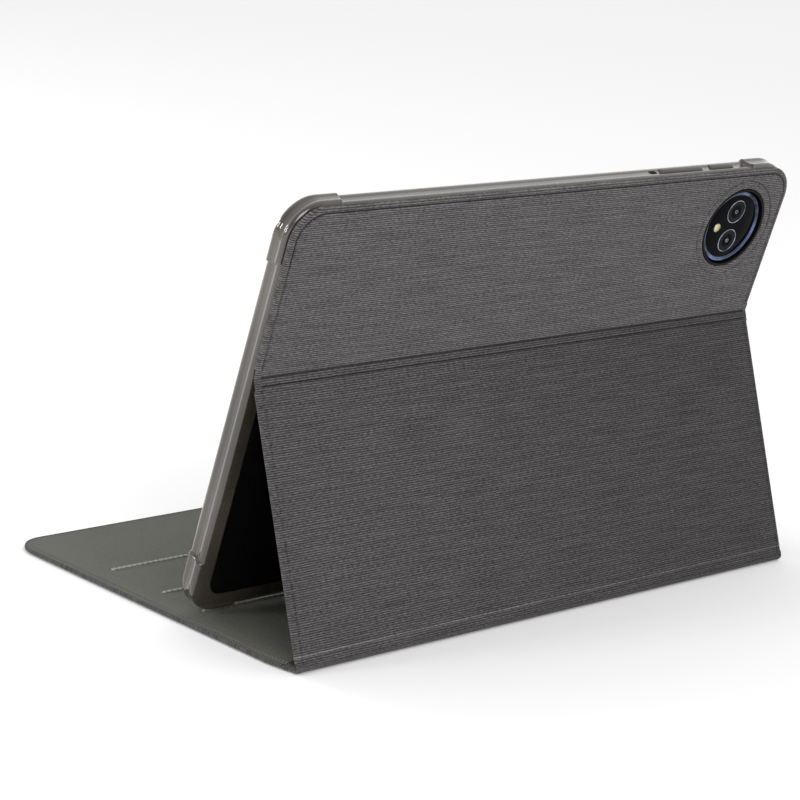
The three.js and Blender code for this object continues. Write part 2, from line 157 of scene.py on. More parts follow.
@dataclass(frozen=True)
class FoldedStrip:
    """The whole strip at rest, with a rounded fold at the foot and at the valley."""

    foot: Vector
    valley: Vector
    tray_up: Vector
    foot_radius: float = 2.2 * MM
    valley_radius: float = 3.0 * MM

    @property
    def leg_length(self) -> float:
        """Foot fold to valley fold."""
        return (self.valley - self.foot).length

    @property
    def leg_up(self) -> Vector:
        """The leg's direction, from the foot to the valley."""
        return (self.valley - self.foot).normalized()

    @staticmethod
    def inward_of(up: Vector) -> Vector:
        """The direction into the laminate for a panel that runs along up."""
        return Vector((1.0, 0.0, 0.0)).cross(up).normalized()

    def panel(self, body: Body) -> PanelFrame:
        """The flat frame of a panel.

        Args:
            body: the front cover, the leg or the tray.

        Returns:
            Its frame, with its origin on the fold at its lower end or at the foot.
        """
        ups = {Body.COVER: Vector((0.0, 1.0, 0.0)), Body.LEG: self.leg_up, Body.TRAY: self.tray_up}
        origin = self.valley if body is Body.TRAY else self.foot
        return PanelFrame(origin, ups[body], self.inward_of(ups[body]))

    def _fold(self, corner: Vector, before: Vector, after: Vector, radius: float,
              s: float) -> tuple[Vector, Vector]:
        """A place and inward direction on a rounded fold.

        Args:
            corner: where the two flat faces would meet.
            before: the direction before the fold.
            after: the direction after the fold.
            radius: the outer face's radius.
            s: strip length from the corner.

        Returns:
            The point on the outer face and the inward direction there.
        """
        bend = before.angle(after)
        reach = radius * math.tan(bend / 2)
        if abs(s) >= reach:
            along = after if s > 0 else before
            return corner + along * s, self.inward_of(along)
        turned_in = self.inward_of(before).dot(after)
        share = (s + reach) / (2 * reach)
        start = corner - before * reach
        side = 1.0 if turned_in > 0 else -1.0
        centre = start + self.inward_of(before) * radius * side
        axis = Vector((1.0, 0.0, 0.0))
        turn = Matrix.Rotation(bend * share * side, 3, axis)
        inward = turn @ self.inward_of(before)
        return centre - inward * radius * side, inward

    def at(self, x: float, s: float, depth: float) -> Vector:
        """A point of the folded strip.

        Args:
            x: across the case.
            s: up the strip from the foot fold.
            depth: inwards from the fabric's outer face.

        Returns:
            The point in the row frame.
        """
        cover = Vector((0.0, 1.0, 0.0))
        if s < self.leg_length / 2:
            place, inward = self._fold(self.foot, cover, self.leg_up, self.foot_radius, s)
        else:
            past = s - self.leg_length
            place, inward = self._fold(self.valley, self.leg_up, self.tray_up, self.valley_radius, past)
        return place + Vector((x, 0.0, 0.0)) + inward * depth


# ---- mesh tools ----


def new_object(name: str, verts: Sequence[Vector], faces: Sequence[Sequence[int]]) -> bpy.types.Object:
    """A mesh object from points and faces, in the row frame.

    Args:
        name: the piece's name.
        verts: its points.
        faces: its faces, as indices.

    Returns:
        The linked object.
    """
    mesh = bpy.data.meshes.new(name)
    mesh.from_pydata([tuple(v) for v in verts], [], [tuple(f) for f in faces])
    mesh.validate()
    obj = bpy.data.objects.new(name, mesh)
    bpy.context.scene.collection.objects.link(obj)
    return obj


def finish_mesh(obj: bpy.types.Object, weld: float = 1e-6, sharp: float = 35.0) -> bpy.types.Object:
    """Welds, turns faces outwards and shades smooth up to an angle.

    Args:
        obj: the object.
        weld: the distance under which points merge.
        sharp: the angle in degrees over which an edge stays sharp.

    Returns:
        The same object.
    """
    bm = bmesh.new()
    bm.from_mesh(obj.data)
    bmesh.ops.remove_doubles(bm, verts=bm.verts, dist=weld)
    bmesh.ops.recalc_face_normals(bm, faces=bm.faces)
    limit = math.radians(sharp)
    for edge in bm.edges:
        edge.smooth = not (len(edge.link_faces) == 2 and edge.calc_face_angle(0.0) > limit)
    for face in bm.faces:
        face.smooth = True
    bm.to_mesh(obj.data)
    bm.free()
    return obj


def apply_modifiers(obj: bpy.types.Object) -> None:
    """Replaces the object's mesh by its evaluated mesh and drops its modifiers.

    Args:
        obj: the object.
    """
    graph = bpy.context.evaluated_depsgraph_get()
    made = bpy.data.meshes.new_from_object(obj.evaluated_get(graph))
    obj.modifiers.clear()
    obj.data = made


def cut(obj: bpy.types.Object, cutters: Iterable[bpy.types.Object]) -> None:
    """Cuts each cutter out of the object and removes the cutters.

    Args:
        obj: the object to cut.
        cutters: closed objects.
    """
    for cutter in cutters:
        modifier = obj.modifiers.new("cut", "BOOLEAN")
        modifier.operation = "DIFFERENCE"
        modifier.solver = "EXACT"
        modifier.object = cutter
        apply_modifiers(obj)
        bpy.data.objects.remove(cutter)


@dataclass
class MeshBuilder:
    """Collects points and faces for one piece, with each point's place on the strip."""

    verts: list[Vector] = field(default_factory=list)
    marks: list[Vector] = field(default_factory=list)
    faces: list[tuple[int, ...]] = field(default_factory=list)

    def add(self, point: Vector, mark: Vector | None = None) -> int:
        """Adds a point and returns its index.

        Args:
            point: the place in the row frame.
            mark: its pattern coordinates, or None for the place itself.

        Returns:
            The new point's index.
        """
        self.verts.append(point)
        self.marks.append(mark if mark is not None else point)
        return len(self.verts) - 1

    def skin(self, rings: Sequence[Sequence[int]], closed_ring: bool, closed_path: bool) -> None:
        """Joins rings of indices with quads.

        Args:
            rings: index rings of equal length.
            closed_ring: whether each ring closes on itself.
            closed_path: whether the last ring joins the first.
        """
        count = len(rings[0])
        pairs = list(zip(rings, rings[1:]))
        if closed_path:
            pairs.append((rings[-1], rings[0]))
        for low, high in pairs:
            for k in range(count if closed_ring else count - 1):
                after = (k + 1) % count
                self.faces.append((low[k], low[after], high[after], high[k]))

    def fill(self, outline: Sequence[int], hole: Sequence[int] | None = None) -> None:
        """Fills a flat outline, with an optional hole.

        Args:
            outline: indices round the outline.
            hole: indices round the hole.
        """
        if hole is None:
            self.faces.append(tuple(outline))
            return
        loops = [[self.verts[i] for i in outline], [self.verts[i] for i in hole]]
        order = list(outline) + list(hole)
        for triangle in tessellate_polygon(loops):
            self.faces.append(tuple(order[i] for i in triangle))

    def build(self, name: str, sharp: float = 35.0) -> bpy.types.Object:
        """Makes the object and stores the pattern coordinates as its "strip" attribute.

        Args:
            name: the piece's name.
            sharp: the angle over which an edge stays sharp.

        Returns:
            The object.
        """
        obj = new_object(name, self.verts, self.faces)
        attribute = obj.data.attributes.new("strip", "FLOAT_VECTOR", "POINT")
        attribute.data.foreach_set("vector", [c for mark in self.marks for c in mark])
        return finish_mesh(obj, sharp=sharp)


def arc(centre: Point, radius: float, start: float, end: float, steps: int) -> list[tuple[Point, Point]]:
    """Stations round a corner.

    Args:
        centre: the arc's centre.
        radius: its radius.
        start: the first angle in degrees.
        end: the last angle in degrees.
        steps: how many spans.

    Returns:
        Pairs of a place and its outward normal.
    """
    stations = []
    for i in range(steps + 1):
        angle = math.radians(start + (end - start) * i / steps)
        normal = (math.cos(angle), math.sin(angle))
        stations.append(((centre[0] + radius * normal[0], centre[1] + radius * normal[1]), normal))
    return stations


def lathe(name: str, panel: PanelFrame, centre: Point, profile: Sequence[Point], steps: int = 96,
          ripple: Callable[[float, int], float] | None = None) -> bpy.types.Object:
    """A turned piece whose axis runs along the panel's depth.

    Args:
        name: the piece's name.
        panel: the panel's frame.
        centre: the axis's place on the panel.
        profile: (radius, depth) points from the axis or as a closed loop.
        steps: spans round the axis.
        ripple: a radius change from the angle and the point's index.

    Returns:
        The object.
    """
    builder = MeshBuilder()
    rings = []
    closed = profile[0][0] > 1e-7
    for i in range(steps):
        angle = 2 * math.pi * i / steps
        ring = []
        for k, (radius, depth) in enumerate(profile):
            grown = radius + (ripple(angle, k) if ripple else 0.0)
            x = centre[0] + grown * math.cos(angle)
            y = centre[1] + grown * math.sin(angle)
            ring.append(builder.add(panel.at(x, y, depth)))
        rings.append(ring)
    builder.skin(rings, closed_ring=closed, closed_path=True)
    return builder.build(name)


def smooth(edge0: float, edge1: float, value: float) -> float:
    """A smooth step from 0 at edge0 to 1 at edge1."""
    t = min(max((value - edge0) / (edge1 - edge0), 0.0), 1.0)
    return t * t * (3 - 2 * t)


def bell(value: float, middle: float, width: float) -> float:
    """A smooth bump of height 1 about middle."""
    return math.exp(-(((value - middle) / width) ** 2))


# ---- materials ----


@dataclass
class NodeTree:
    """A short hand for building one material's nodes."""

    material: bpy.types.Material

    @classmethod
    def start(cls, name: str) -> "NodeTree":
        """A new material with an empty tree.

        Args:
            name: the material's name.

        Returns:
            The tree.
        """
        material = bpy.data.materials.new(name)
        material.use_nodes = True
        material.node_tree.nodes.clear()
        return cls(material)

    def node(self, kind: str, settings: dict | None = None, **inputs: object) -> bpy.types.Node:
        """Adds a node, sets its properties and fills or links its inputs.

        Args:
            kind: the node's type.
            settings: properties of the node itself.
            inputs: values or output sockets, by input name with _ for a space, or i0, i1 for a place.

        Returns:
            The node.
        """
        made = self.material.node_tree.nodes.new(kind)
        for key, value in (settings or {}).items():
            setattr(made, key, value)
        for key, value in inputs.items():
            place = int(key[1:]) if key[0] == "i" and key[1:].isdigit() else key.replace("_", " ")
            if isinstance(value, bpy.types.NodeSocket):
                self.material.node_tree.links.new(value, made.inputs[place])
            else:
                made.inputs[place].default_value = value
        return made

    def math(self, operation: str, a: object, b: object = 0.0, c: object = 0.0) -> bpy.types.NodeSocket:
        """A math node's result.

        Args:
            operation: the operation's name.
            a: the first value or socket.
            b: the second.
            c: the third.

        Returns:
            The output socket.
        """
        return self.node("ShaderNodeMath", {"operation": operation}, i0=a, i1=b, i2=c).outputs[0]

    def place(self, scale: Sequence[float]) -> bpy.types.NodeSocket:
        """The strip coordinates, scaled per axis."""
        mark = self.node("ShaderNodeAttribute", {"attribute_name": "strip"})
        return self.scaled(mark.outputs["Vector"], scale)

    def scaled(self, vector: bpy.types.NodeSocket, scale: Sequence[float]) -> bpy.types.NodeSocket:
        """A vector times a scale per axis."""
        settings = {"operation": "MULTIPLY"}
        return self.node("ShaderNodeVectorMath", settings, i0=vector, i1=tuple(scale)).outputs[0]

    def noise(self, vector: bpy.types.NodeSocket, detail: float = 2.0, scale: float = 1.0,
              roughness: float = 0.5) -> bpy.types.NodeSocket:
        """Noise from 0 to 1 at a vector."""
        made = self.node("ShaderNodeTexNoise", Vector=vector, Scale=scale, Detail=detail, Roughness=roughness)
        return made.outputs[0]

    def ramp(self, value: bpy.types.NodeSocket,
             stops: Sequence[tuple[float, Sequence[float]]]) -> bpy.types.NodeSocket:
        """A colour ramp's colour.

        Args:
            value: the socket that drives it.
            stops: (place, rgb) pairs in order.

        Returns:
            The colour socket.
        """
        made = self.node("ShaderNodeValToRGB", Fac=value)
        band = made.color_ramp
        while len(band.elements) < len(stops):
            band.elements.new(0.5)
        for element, (place, colour) in zip(band.elements, stops):
            element.position = place
            element.color = (*colour, 1.0)
        return made.outputs["Color"]

    def step(self, value: bpy.types.NodeSocket, reach: Point, result: Point) -> bpy.types.NodeSocket:
        """A smooth change from one result to the other as the value crosses a reach.

        Args:
            value: the socket that drives it.
            reach: where the change starts and ends.
            result: the result before and after.

        Returns:
            The result's socket.
        """
        settings = {"interpolation_type": "SMOOTHSTEP"}
        return self.node("ShaderNodeMapRange", settings, Value=value, From_Min=reach[0], From_Max=reach[1],
                         To_Min=result[0], To_Max=result[1]).outputs[0]

    def bump(self, height: bpy.types.NodeSocket, distance: float,
             strength: float = 1.0) -> bpy.types.NodeSocket:
        """A bump node's normal."""
        made = self.node("ShaderNodeBump", Height=height, Distance=distance, Strength=strength)
        return made.outputs["Normal"]

    def surface(self, **inputs: object) -> bpy.types.Material:
        """Ends the tree with a Principled shader.

        Args:
            inputs: the shader's values or sockets, by input name with _ for a space.

        Returns:
            The material.
        """
        shader = self.node("ShaderNodeBsdfPrincipled", None, **inputs)
        out = self.node("ShaderNodeOutputMaterial")
        self.material.node_tree.links.new(shader.outputs[0], out.inputs["Surface"])
        return self.material


@dataclass(frozen=True)
class RibbedFabric:
    """Outer fabric: fine broken ribs across the case, with slubs and a little fuzz, and painted shade and a
    painted highlight by place.
    """

    dark: tuple[float, float, float] = (0.016, 0.015, 0.016)
    middle: tuple[float, float, float] = (0.066, 0.062, 0.063)
    light: tuple[float, float, float] = (0.22, 0.207, 0.21)
    rib_pitch: float = 0.86 * MM
    # Painted shade that darkens the leg, from -x to +x.
    leg_painted_shade: Point = (0.56, 0.80)
    strip_half: float = 136 * MM
    valley: float = 108.4 * MM
    rib_wander: float = 0.3 * MM
    dash_share: float = 0.62
    rib_share: float = 0.23
    slub_share: float = 0.20
    grain_share: float = 0.34
    # Painted shade in the pressed lines: below the valley, at the fold and towards the upper panel's top edge.
    fold_shade: float = 0.42
    fold_extra_shade: float = 0.45
    edge_shade: float = 0.5
    line_shade_share: float = 0.9
    # Painted highlight: a light line across the leg above the foot.
    foot_highlight_gain: float = 0.75
    foot_highlight_rise: Point = (6.1 * MM, 6.5 * MM)
    foot_highlight_fall: Point = (6.9 * MM, 7.3 * MM)

    def pressed(self, tree: NodeTree, parts: bpy.types.Node) -> bpy.types.NodeSocket:
        """Painted shade in the pressed lines: darkest along the top edge and in the valley.

        Args:
            tree: the material's tree.
            parts: the node that gives x, s and depth.

        Returns:
            1 on the open fabric, less in a line.
        """
        along, valley = parts.outputs["Y"], self.valley
        # Painted shade only where the skin is pressed in deeper than about 0.2 mm.
        deep = tree.step(parts.outputs["Z"], (0.2 * MM, 0.38 * MM), (0.0, 1.0))
        past_leg = tree.step(along, (valley - 6 * MM, valley - 5 * MM), (0.0, self.fold_shade))
        to_top = tree.step(along, (valley + 30 * MM, valley + 56 * MM), (0.0, self.edge_shade))
        at_fold = tree.step(along, (valley + 4 * MM, valley + 7 * MM), (self.fold_extra_shade, 0.0))
        both = tree.math("ADD", to_top, at_fold)
        total = tree.math("MULTIPLY", tree.math("ADD", past_leg, both), self.line_shade_share)
        held = tree.math("MULTIPLY", total, tree.math("GREATER_THAN", past_leg, 0.01))
        return tree.math("SUBTRACT", 1.0, tree.math("MULTIPLY", deep, held))

    def tone(self, tree: NodeTree, parts: bpy.types.Node) -> bpy.types.NodeSocket:
        """Painted light by place: painted shade that darkens the leg, less towards +x, painted shade in the
        pressed lines and a painted highlight as a light line above the foot.

        Args:
            tree: the material's tree.
            parts: the node that gives x, s and depth.

        Returns:
            The brightness, 1 on the upper panel's open fabric.
        """
        along = parts.outputs["Y"]
        above = tree.step(along, (self.valley - 0.4 * MM, self.valley + 0.6 * MM), (0.0, 1.0))
        # Painted shade: the leg's colour goes from 0.56 at -x to 0.80 at +x of the upper panel's; above the
        # valley it is not darkened.
        leg = tree.step(parts.outputs["X"], (-self.strip_half, self.strip_half), self.leg_painted_shade)
        shade = tree.math("MULTIPLY_ADD", tree.math("SUBTRACT", 1.0, leg), above, leg)
        # Painted highlight: brighter by up to 1.75 times from 6.1 to 7.3 mm up the strip.
        rise = tree.step(along, self.foot_highlight_rise, (0.0, self.foot_highlight_gain))
        fall = tree.step(along, self.foot_highlight_fall, (1.0, 0.0))
        foot_line = tree.math("MULTIPLY_ADD", rise, fall, 1.0)
        return tree.math("MULTIPLY", tree.math("MULTIPLY", shade, self.pressed(tree, parts)), foot_line)

    def build(self) -> bpy.types.Material:
        """Makes the material.

        Returns:
            The material.
        """
        tree = NodeTree.start("outer_fabric")
        wander = tree.noise(tree.place((70, 40, 40)), detail=2)
        mark = tree.node("ShaderNodeAttribute", {"attribute_name": "strip"})
        parts = tree.node("ShaderNodeSeparateXYZ", Vector=mark.outputs["Vector"])
        shifted = tree.math("MULTIPLY_ADD", wander, self.rib_wander, parts.outputs["Y"])
        phase = tree.math("MULTIPLY", shifted, 2 * math.pi / self.rib_pitch)
        rib = tree.math("MULTIPLY_ADD", tree.math("SINE", phase), 0.5, 0.5)
        dash = tree.noise(tree.place((620, 1900, 300)), detail=3, roughness=0.65)
        slub = tree.noise(tree.place((40, 800, 60)), detail=2)
        grain = tree.noise(tree.place((1900, 3000, 2600)), detail=2, roughness=0.7)
        broken = tree.math("MULTIPLY_ADD", dash, self.dash_share, tree.math("MULTIPLY", rib, self.rib_share))
        banded = tree.math("MULTIPLY_ADD", slub, self.slub_share, broken)
        height = tree.math("MULTIPLY_ADD", grain, self.grain_share, banded)
        colour = tree.ramp(height, [(0.49, self.dark), (0.69, self.middle), (0.92, self.light)])
        settings = {"operation": "SCALE"}
        # The ramp's colour is scaled by the painted light and shade from tone().
        toned = tree.node("ShaderNodeVectorMath", settings, Vector=colour, Scale=self.tone(tree, parts))
        return tree.surface(
            Base_Color=toned.outputs[0],
            Roughness=0.88,
            Specular_IOR_Level=0.2,
            Sheen_Weight=0.08,
            Sheen_Roughness=0.5,
            Normal=tree.bump(height, 0.35 * MM, 0.8),
        )


@dataclass(frozen=True)
class TwillLining:
    """Lining: a fine diagonal twill in green grey."""

    dark: tuple[float, float, float] = (0.022, 0.024, 0.018)
    light: tuple[float, float, float] = (0.175, 0.18, 0.148)
    pitch: float = 1.4 * MM

    def build(self) -> bpy.types.Material:
        """Makes the material.

        Returns:
            The material.
        """
        tree = NodeTree.start("twill_lining")
        mark = tree.node("ShaderNodeAttribute", {"attribute_name": "strip"})
        parts = tree.node("ShaderNodeSeparateXYZ", Vector=mark.outputs["Vector"])
        across = tree.math("ADD", parts.outputs["X"], parts.outputs["Y"])
        counter = tree.math("SUBTRACT", parts.outputs["X"], parts.outputs["Y"])
        turns = 2 * math.pi / self.pitch
        twill = tree.math("SINE", tree.math("MULTIPLY", across, turns))
        cross = tree.math("SINE", tree.math("MULTIPLY", counter, turns * 1.6))
        woven = tree.math("MULTIPLY_ADD", cross, 0.2, tree.math("MULTIPLY_ADD", twill, 0.34, 0.5))
        grain = tree.noise(tree.place((1400, 1400, 1400)), detail=2)
        height = tree.math("MULTIPLY_ADD", grain, 0.35, tree.math("MULTIPLY", woven, 0.75))
        cloud = tree.noise(tree.place((16, 16, 16)), detail=3)
        tone = tree.math("MULTIPLY_ADD", cloud, 0.12, height)
        colour = tree.ramp(tone, [(0.36, self.dark), (0.86, self.light)])
        return tree.surface(
            Base_Color=colour,
            Roughness=0.88,
            Specular_IOR_Level=0.2,
            Sheen_Weight=0.08,
            Normal=tree.bump(height, 0.22 * MM, 0.7),
        )


@dataclass(frozen=True)
class SoftPlastic:
    """Smoky, slightly frosted soft plastic of the tray."""

    name: str = "soft_tray"
    dark: tuple[float, float, float] = (0.046, 0.038, 0.030)
    light: tuple[float, float, float] = (0.115, 0.097, 0.077)
    transmission: float = 0.35
    roughness: float = 0.12

    def build(self) -> bpy.types.Material:
        """Makes the material.

        Returns:
            The material.
        """
        tree = NodeTree.start(self.name)
        where = tree.node("ShaderNodeTexCoord").outputs["Object"]
        cloud = tree.noise(tree.scaled(where, (28, 28, 28)), detail=3)
        flow = tree.noise(tree.scaled(where, (700, 700, 700)), detail=2)
        colour = tree.ramp(cloud, [(0.35, self.dark), (0.68, self.light)])
        rough = tree.math("MULTIPLY_ADD", flow, 0.06, self.roughness - 0.03)
        return tree.surface(
            Base_Color=colour,
            Roughness=rough,
            IOR=1.48,
            Transmission_Weight=self.transmission,
            Coat_Weight=1.0,
            Coat_Roughness=0.05,
            Normal=tree.bump(flow, 0.002 * MM, 0.2),
        )


@dataclass(frozen=True)
class PlainFinish:
    """A metal or plastic with a fine grain in its roughness and a cloudy change in its colour, which on the
    bright metal rings is wide enough to paint their reflections.
    """

    name: str
    colour: tuple[float, float, float]
    roughness: float
    metallic: float = 0.0
    grain: float = 1800.0
    relief: float = 0.01 * MM
    tone_and_reflection_spread: float = 0.12
    specular: float = 0.5
    cloud: float = 60.0

    def build(self) -> bpy.types.Material:
        """Makes the material.

        Returns:
            The material.
        """
        tree = NodeTree.start(self.name)
        where = tree.node("ShaderNodeTexCoord").outputs["Object"]
        grain = tree.noise(tree.scaled(where, (self.grain,) * 3), detail=2)
        cloud = tree.noise(tree.scaled(where, (self.cloud,) * 3), detail=2)
        # Colour runs by a cloud from low to high; on the rings the wide spread paints light and dark
        # reflections.
        low = tuple(max(c * (1 - self.tone_and_reflection_spread), 0.001) for c in self.colour)
        high = tuple(min(c * (1 + self.tone_and_reflection_spread), 1.0) for c in self.colour)
        colour = tree.ramp(cloud, [(0.3, low), (0.7, high)])
        rough = tree.math("MULTIPLY_ADD", grain, 0.14 * self.roughness + 0.02, self.roughness * 0.93)
        return tree.surface(
            Base_Color=colour,
            Roughness=rough,
            Metallic=self.metallic,
            Specular_IOR_Level=self.specular,
            Normal=tree.bump(grain, self.relief, 0.5),
        )


@dataclass(frozen=True)
class ClearPlate:
    """Clear hard plastic of the tray's back, with faint scuffs in its gloss."""

    def build(self) -> bpy.types.Material:
        """Makes the material.

        Returns:
            The material.
        """
        tree = NodeTree.start("clear_plate")
        where = tree.node("ShaderNodeTexCoord").outputs["Object"]
        scuff = tree.noise(tree.scaled(where, (40, 40, 300)), detail=4)
        rough = tree.math("MULTIPLY_ADD", scuff, 0.08, 0.03)
        tint = tree.ramp(scuff, [(0.3, (0.9, 0.9, 0.9)), (0.8, (0.97, 0.97, 0.97))])
        return tree.surface(Base_Color=tint, Roughness=rough, IOR=1.15, Transmission_Weight=1.0)


@dataclass(frozen=True)
class Finishes:
    """Every finish of the case, made once."""

    fabric: bpy.types.Material
    lining: bpy.types.Material
    rib: bpy.types.Material
    tray: bpy.types.Material
    key_cover: bpy.types.Material
    plate: bpy.types.Material
    board: bpy.types.Material
    bond: bpy.types.Material
    magnet: bpy.types.Material
    black: bpy.types.Material
    metal: bpy.types.Material
    screen: bpy.types.Material
    ring: bpy.types.Material
    camera_glass: bpy.types.Material
    lens: bpy.types.Material
    lens_ring: bpy.types.Material
    flash: bpy.types.Material

    @classmethod
    def make(cls) -> "Finishes":
        """Builds all the materials.

        Returns:
            The finishes.
        """
        thread = TwillLining(dark=(0.2, 0.205, 0.18), light=(0.55, 0.56, 0.51), pitch=0.9 * MM)
        return cls(
            fabric=RibbedFabric().build(),
            lining=TwillLining().build(),
            rib=thread.build(),
            tray=SoftPlastic().build(),
            key_cover=PlainFinish("key_cover", (0.085, 0.077, 0.07), 0.42).build(),
            plate=ClearPlate().build(),
            board=PlainFinish("grey_board", (0.25, 0.24, 0.22), 0.85, grain=900).build(),
            bond=PlainFinish("bonding_sheet", (0.6, 0.57, 0.5), 0.6).build(),
            magnet=PlainFinish("plated_magnet", (0.45, 0.45, 0.46), 0.3, metallic=1.0).build(),
            black=PlainFinish("black_plastic", (0.003, 0.003, 0.004), 0.5, specular=0.1).build(),
            metal=PlainFinish("tablet_metal", (0.005, 0.005, 0.006), 0.45, metallic=0.3,
                              specular=0.15).build(),
            screen=PlainFinish("screen_glass", (0.004, 0.004, 0.005), 0.06, grain=60, relief=0.0,
                               specular=0.3).build(),
            # Painted reflections: the ring's colour swings widely by a cloud, for light and dark patches.
            ring=PlainFinish("blue_ring", (0.075, 0.10, 0.17), 0.16, metallic=1.0, grain=2500, tone_and_reflection_spread=0.95,
                             cloud=130).build(),
            camera_glass=PlainFinish("camera_glass", (0.003, 0.003, 0.004), 0.05, grain=60, relief=0.0,
                                     specular=0.02).build(),
            lens=PlainFinish("coated_lens", (0.002, 0.002, 0.004), 0.06, grain=60, relief=0.0,
                             specular=0.06).build(),
            # Painted highlights: the lens rings' colour swings widely by a cloud, for bright arcs.
            lens_ring=PlainFinish("lens_ring", (0.30, 0.34, 0.43), 0.16, metallic=1.0, tone_and_reflection_spread=0.97,
                                  cloud=210).build(),
            flash=PlainFinish("flash_diffuser", (0.52, 0.44, 0.2), 0.3, grain=1400, tone_and_reflection_spread=0.5,
                              cloud=500).build(),
        )


def dress(obj: bpy.types.Object, material: bpy.types.Material, body: Body | None, slot: Slot,
          *nodes: str) -> bpy.types.Object:
    """Gives a piece its material and body, and hides the frame nodes that it stands for.

    Args:
        obj: the piece.
        material: its material.
        body: the body that it rides on, or None where it bends between two.
        slot: the record's slot; not used.
        nodes: the frame nodes that it replaces.

    Returns:
        The same piece.
    """
    obj.data.materials.clear()
    obj.data.materials.append(material)
    if body is not None:
        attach(obj, body.value)
    if nodes:
        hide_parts(*nodes)
    LOG.info("%s: %d faces", obj.name, len(obj.data.polygons))
    return obj


# ---- the laminated strip ----


@dataclass(frozen=True)
class Laminate:
    """Section sizes of the strip, from its outer face inwards, and of its edges."""

    full: float = 2.4 * MM
    soft: float = 1.3 * MM
    skin: float = 0.5 * MM
    lining: float = 0.5 * MM
    rim_reach: float = 3.7 * MM
    step_inset: float = 2.75 * MM
    soft_recess: float = 0.3 * MM

    def skin_section(self, softness: float) -> Loop:
        """The outer skin's closed section at a side edge.

        Args:
            softness: 0 where a board stiffens the panel, 1 where skin and lining lie together.

        Returns:
            (inset, depth) points: outer face, round the edge, then back along the inner face.
        """
        deep = self.full + (self.soft - self.full) * softness
        press = self.soft_recess * (1 - softness)
        step = self.step_inset
        outer = [
            (self.rim_reach, 0.0),
            (step + 0.55 * MM, 0.0),
            (step + 0.25 * MM, -0.35 * press),
            (step, 0.7 * press),
            (step - 0.3 * MM, 1.4 * press),
            (step - 0.6 * MM, 1.3 * press),
            (step - 0.9 * MM, 0.6 * press),
            (1.3 * MM, 0.55 * press),
            (0.7 * MM, 0.6 * press + 0.05 * deep),
            (0.3 * MM, 0.7 * press + 0.13 * deep),
            (0.07 * MM, press + 0.25 * deep),
            (0.0, 0.55 * deep),
            (0.05 * MM, 0.76 * deep),
            (0.25 * MM, 0.88 * deep),
            (0.7 * MM, 0.92 * deep),
        ]
        inner = [
            (1.0 * MM, 0.78 * deep),
            (0.75 * MM, 0.62 * deep),
            (1.2 * MM, press + self.skin),
            (step, press + self.skin),
            (step + 0.55 * MM, self.skin),
            (self.rim_reach, self.skin),
        ]
        return outer + inner

    def lining_section(self, softness: float) -> Loop:
        """The lining's closed section at a side edge.

        Args:
            softness: 0 where a board stiffens the panel, 1 where skin and lining lie together.

        Returns:
            (inset, depth) points: inner face, round the edge, then back along the glued face.
        """
        deep = self.full + (self.soft - self.full) * softness
        press = 0.26 * MM * (1 - softness)
        step = self.step_inset + 0.1 * MM
        back = deep - self.lining
        return [
            (self.rim_reach, deep),
            (step + 0.5 * MM, deep),
            (step + 0.2 * MM, deep + 0.25 * press),
            (step, deep - 0.3 * press),
            (step - 0.25 * MM, deep - 1.3 * press),
            (step - 0.7 * MM, deep - press),
            (1.2 * MM, deep - 1.1 * press),
            (0.85 * MM, deep - 0.14 * MM - press),
            (0.75 * MM, deep - 0.3 * MM),
            (1.15 * MM, back + 0.05 * MM),
            (step, back + 0.02 * MM),
            (self.rim_reach, back),
        ]


@dataclass
class StripPart:
    """One layer of the strip, skin or lining, over a stretch of it."""

    strip: FoldedStrip
    laminate: Laminate
    is_lining: bool
    half_width: Callable[[float], float]

    def section(self, s: float) -> Loop:
        """The edge section, thinner where there is no board.

        Args:
            s: strip length.

        Returns:
            (inset, depth) points.
        """
        softness = strip_softness(s, self.strip.leg_length)
        make = self.laminate.lining_section if self.is_lining else self.laminate.skin_section
        return make(softness)

    def relief(self, x: float, s: float, depth: float) -> float:
        """How far the pressed lines across the strip push a point inwards.

        Args:
            x: across the case.
            s: strip length.
            depth: the point's depth before it is pushed.

        Returns:
            The push.
        """
        if self.is_lining:
            return 0.0
        fade = 1.0 - smooth(0.0, self.laminate.soft * 1.5, depth)
        edge = self.half_width(s) - abs(x)
        across = smooth(1.2 * MM, 3.2 * MM, edge)
        return fade * (0.35 + 0.65 * across) * pressed_lines(s, self.strip.leg_length)

    def band(self, name: str, rows: Sequence[float]) -> bpy.types.Object:
        """A closed band of the layer between the first and last row.

        Args:
            name: the piece's name.
            rows: strip lengths in order.

        Returns:
            The object.
        """
        builder = MeshBuilder()
        rings = []
        for s in rows:
            half = self.half_width(s)
            section = self.section(s)
            right = [(half - inset, depth) for inset, depth in section]
            left = [(-(half - inset), depth) for inset, depth in section]
            outline = right + left[::-1]
            ring = []
            for x, depth in outline:
                pushed = depth + self.relief(x, s, depth)
                mark = Vector((x, s, pressed_mark(half - abs(x), pushed)))
                ring.append(builder.add(self.strip.at(x, s, pushed), mark))
            rings.append(ring)
        builder.skin(rings, closed_ring=True, closed_path=False)
        builder.fill(rings[0])
        builder.fill(rings[-1])
        return builder.build(name)


def pressed_mark(inset: float, depth: float) -> float:
    """The depth that a point's finish sees, for the fabric's painted shade in pressed lines: the edge's own
    rounding doesn't count as a pressed line.
    """
    return depth if inset > 0.75 * MM and depth < 0.46 * MM else 0.0


def strip_softness(s: float, leg_length: float) -> float:
    """How soft the strip is at a strip length.

    Args:
        s: strip length.
        leg_length: foot fold to valley fold.

    Returns:
        0 over a board, 1 over the bare skin and lining.
    """
    foot = smooth(-9.3 * MM, -8.1 * MM, s) * (1 - smooth(3.9 * MM, 4.9 * MM, s))
    past = s - leg_length
    valley = smooth(-5.0 * MM, -4.0 * MM, past) * (1 - smooth(2.6 * MM, 3.6 * MM, past))
    return max(foot, valley)


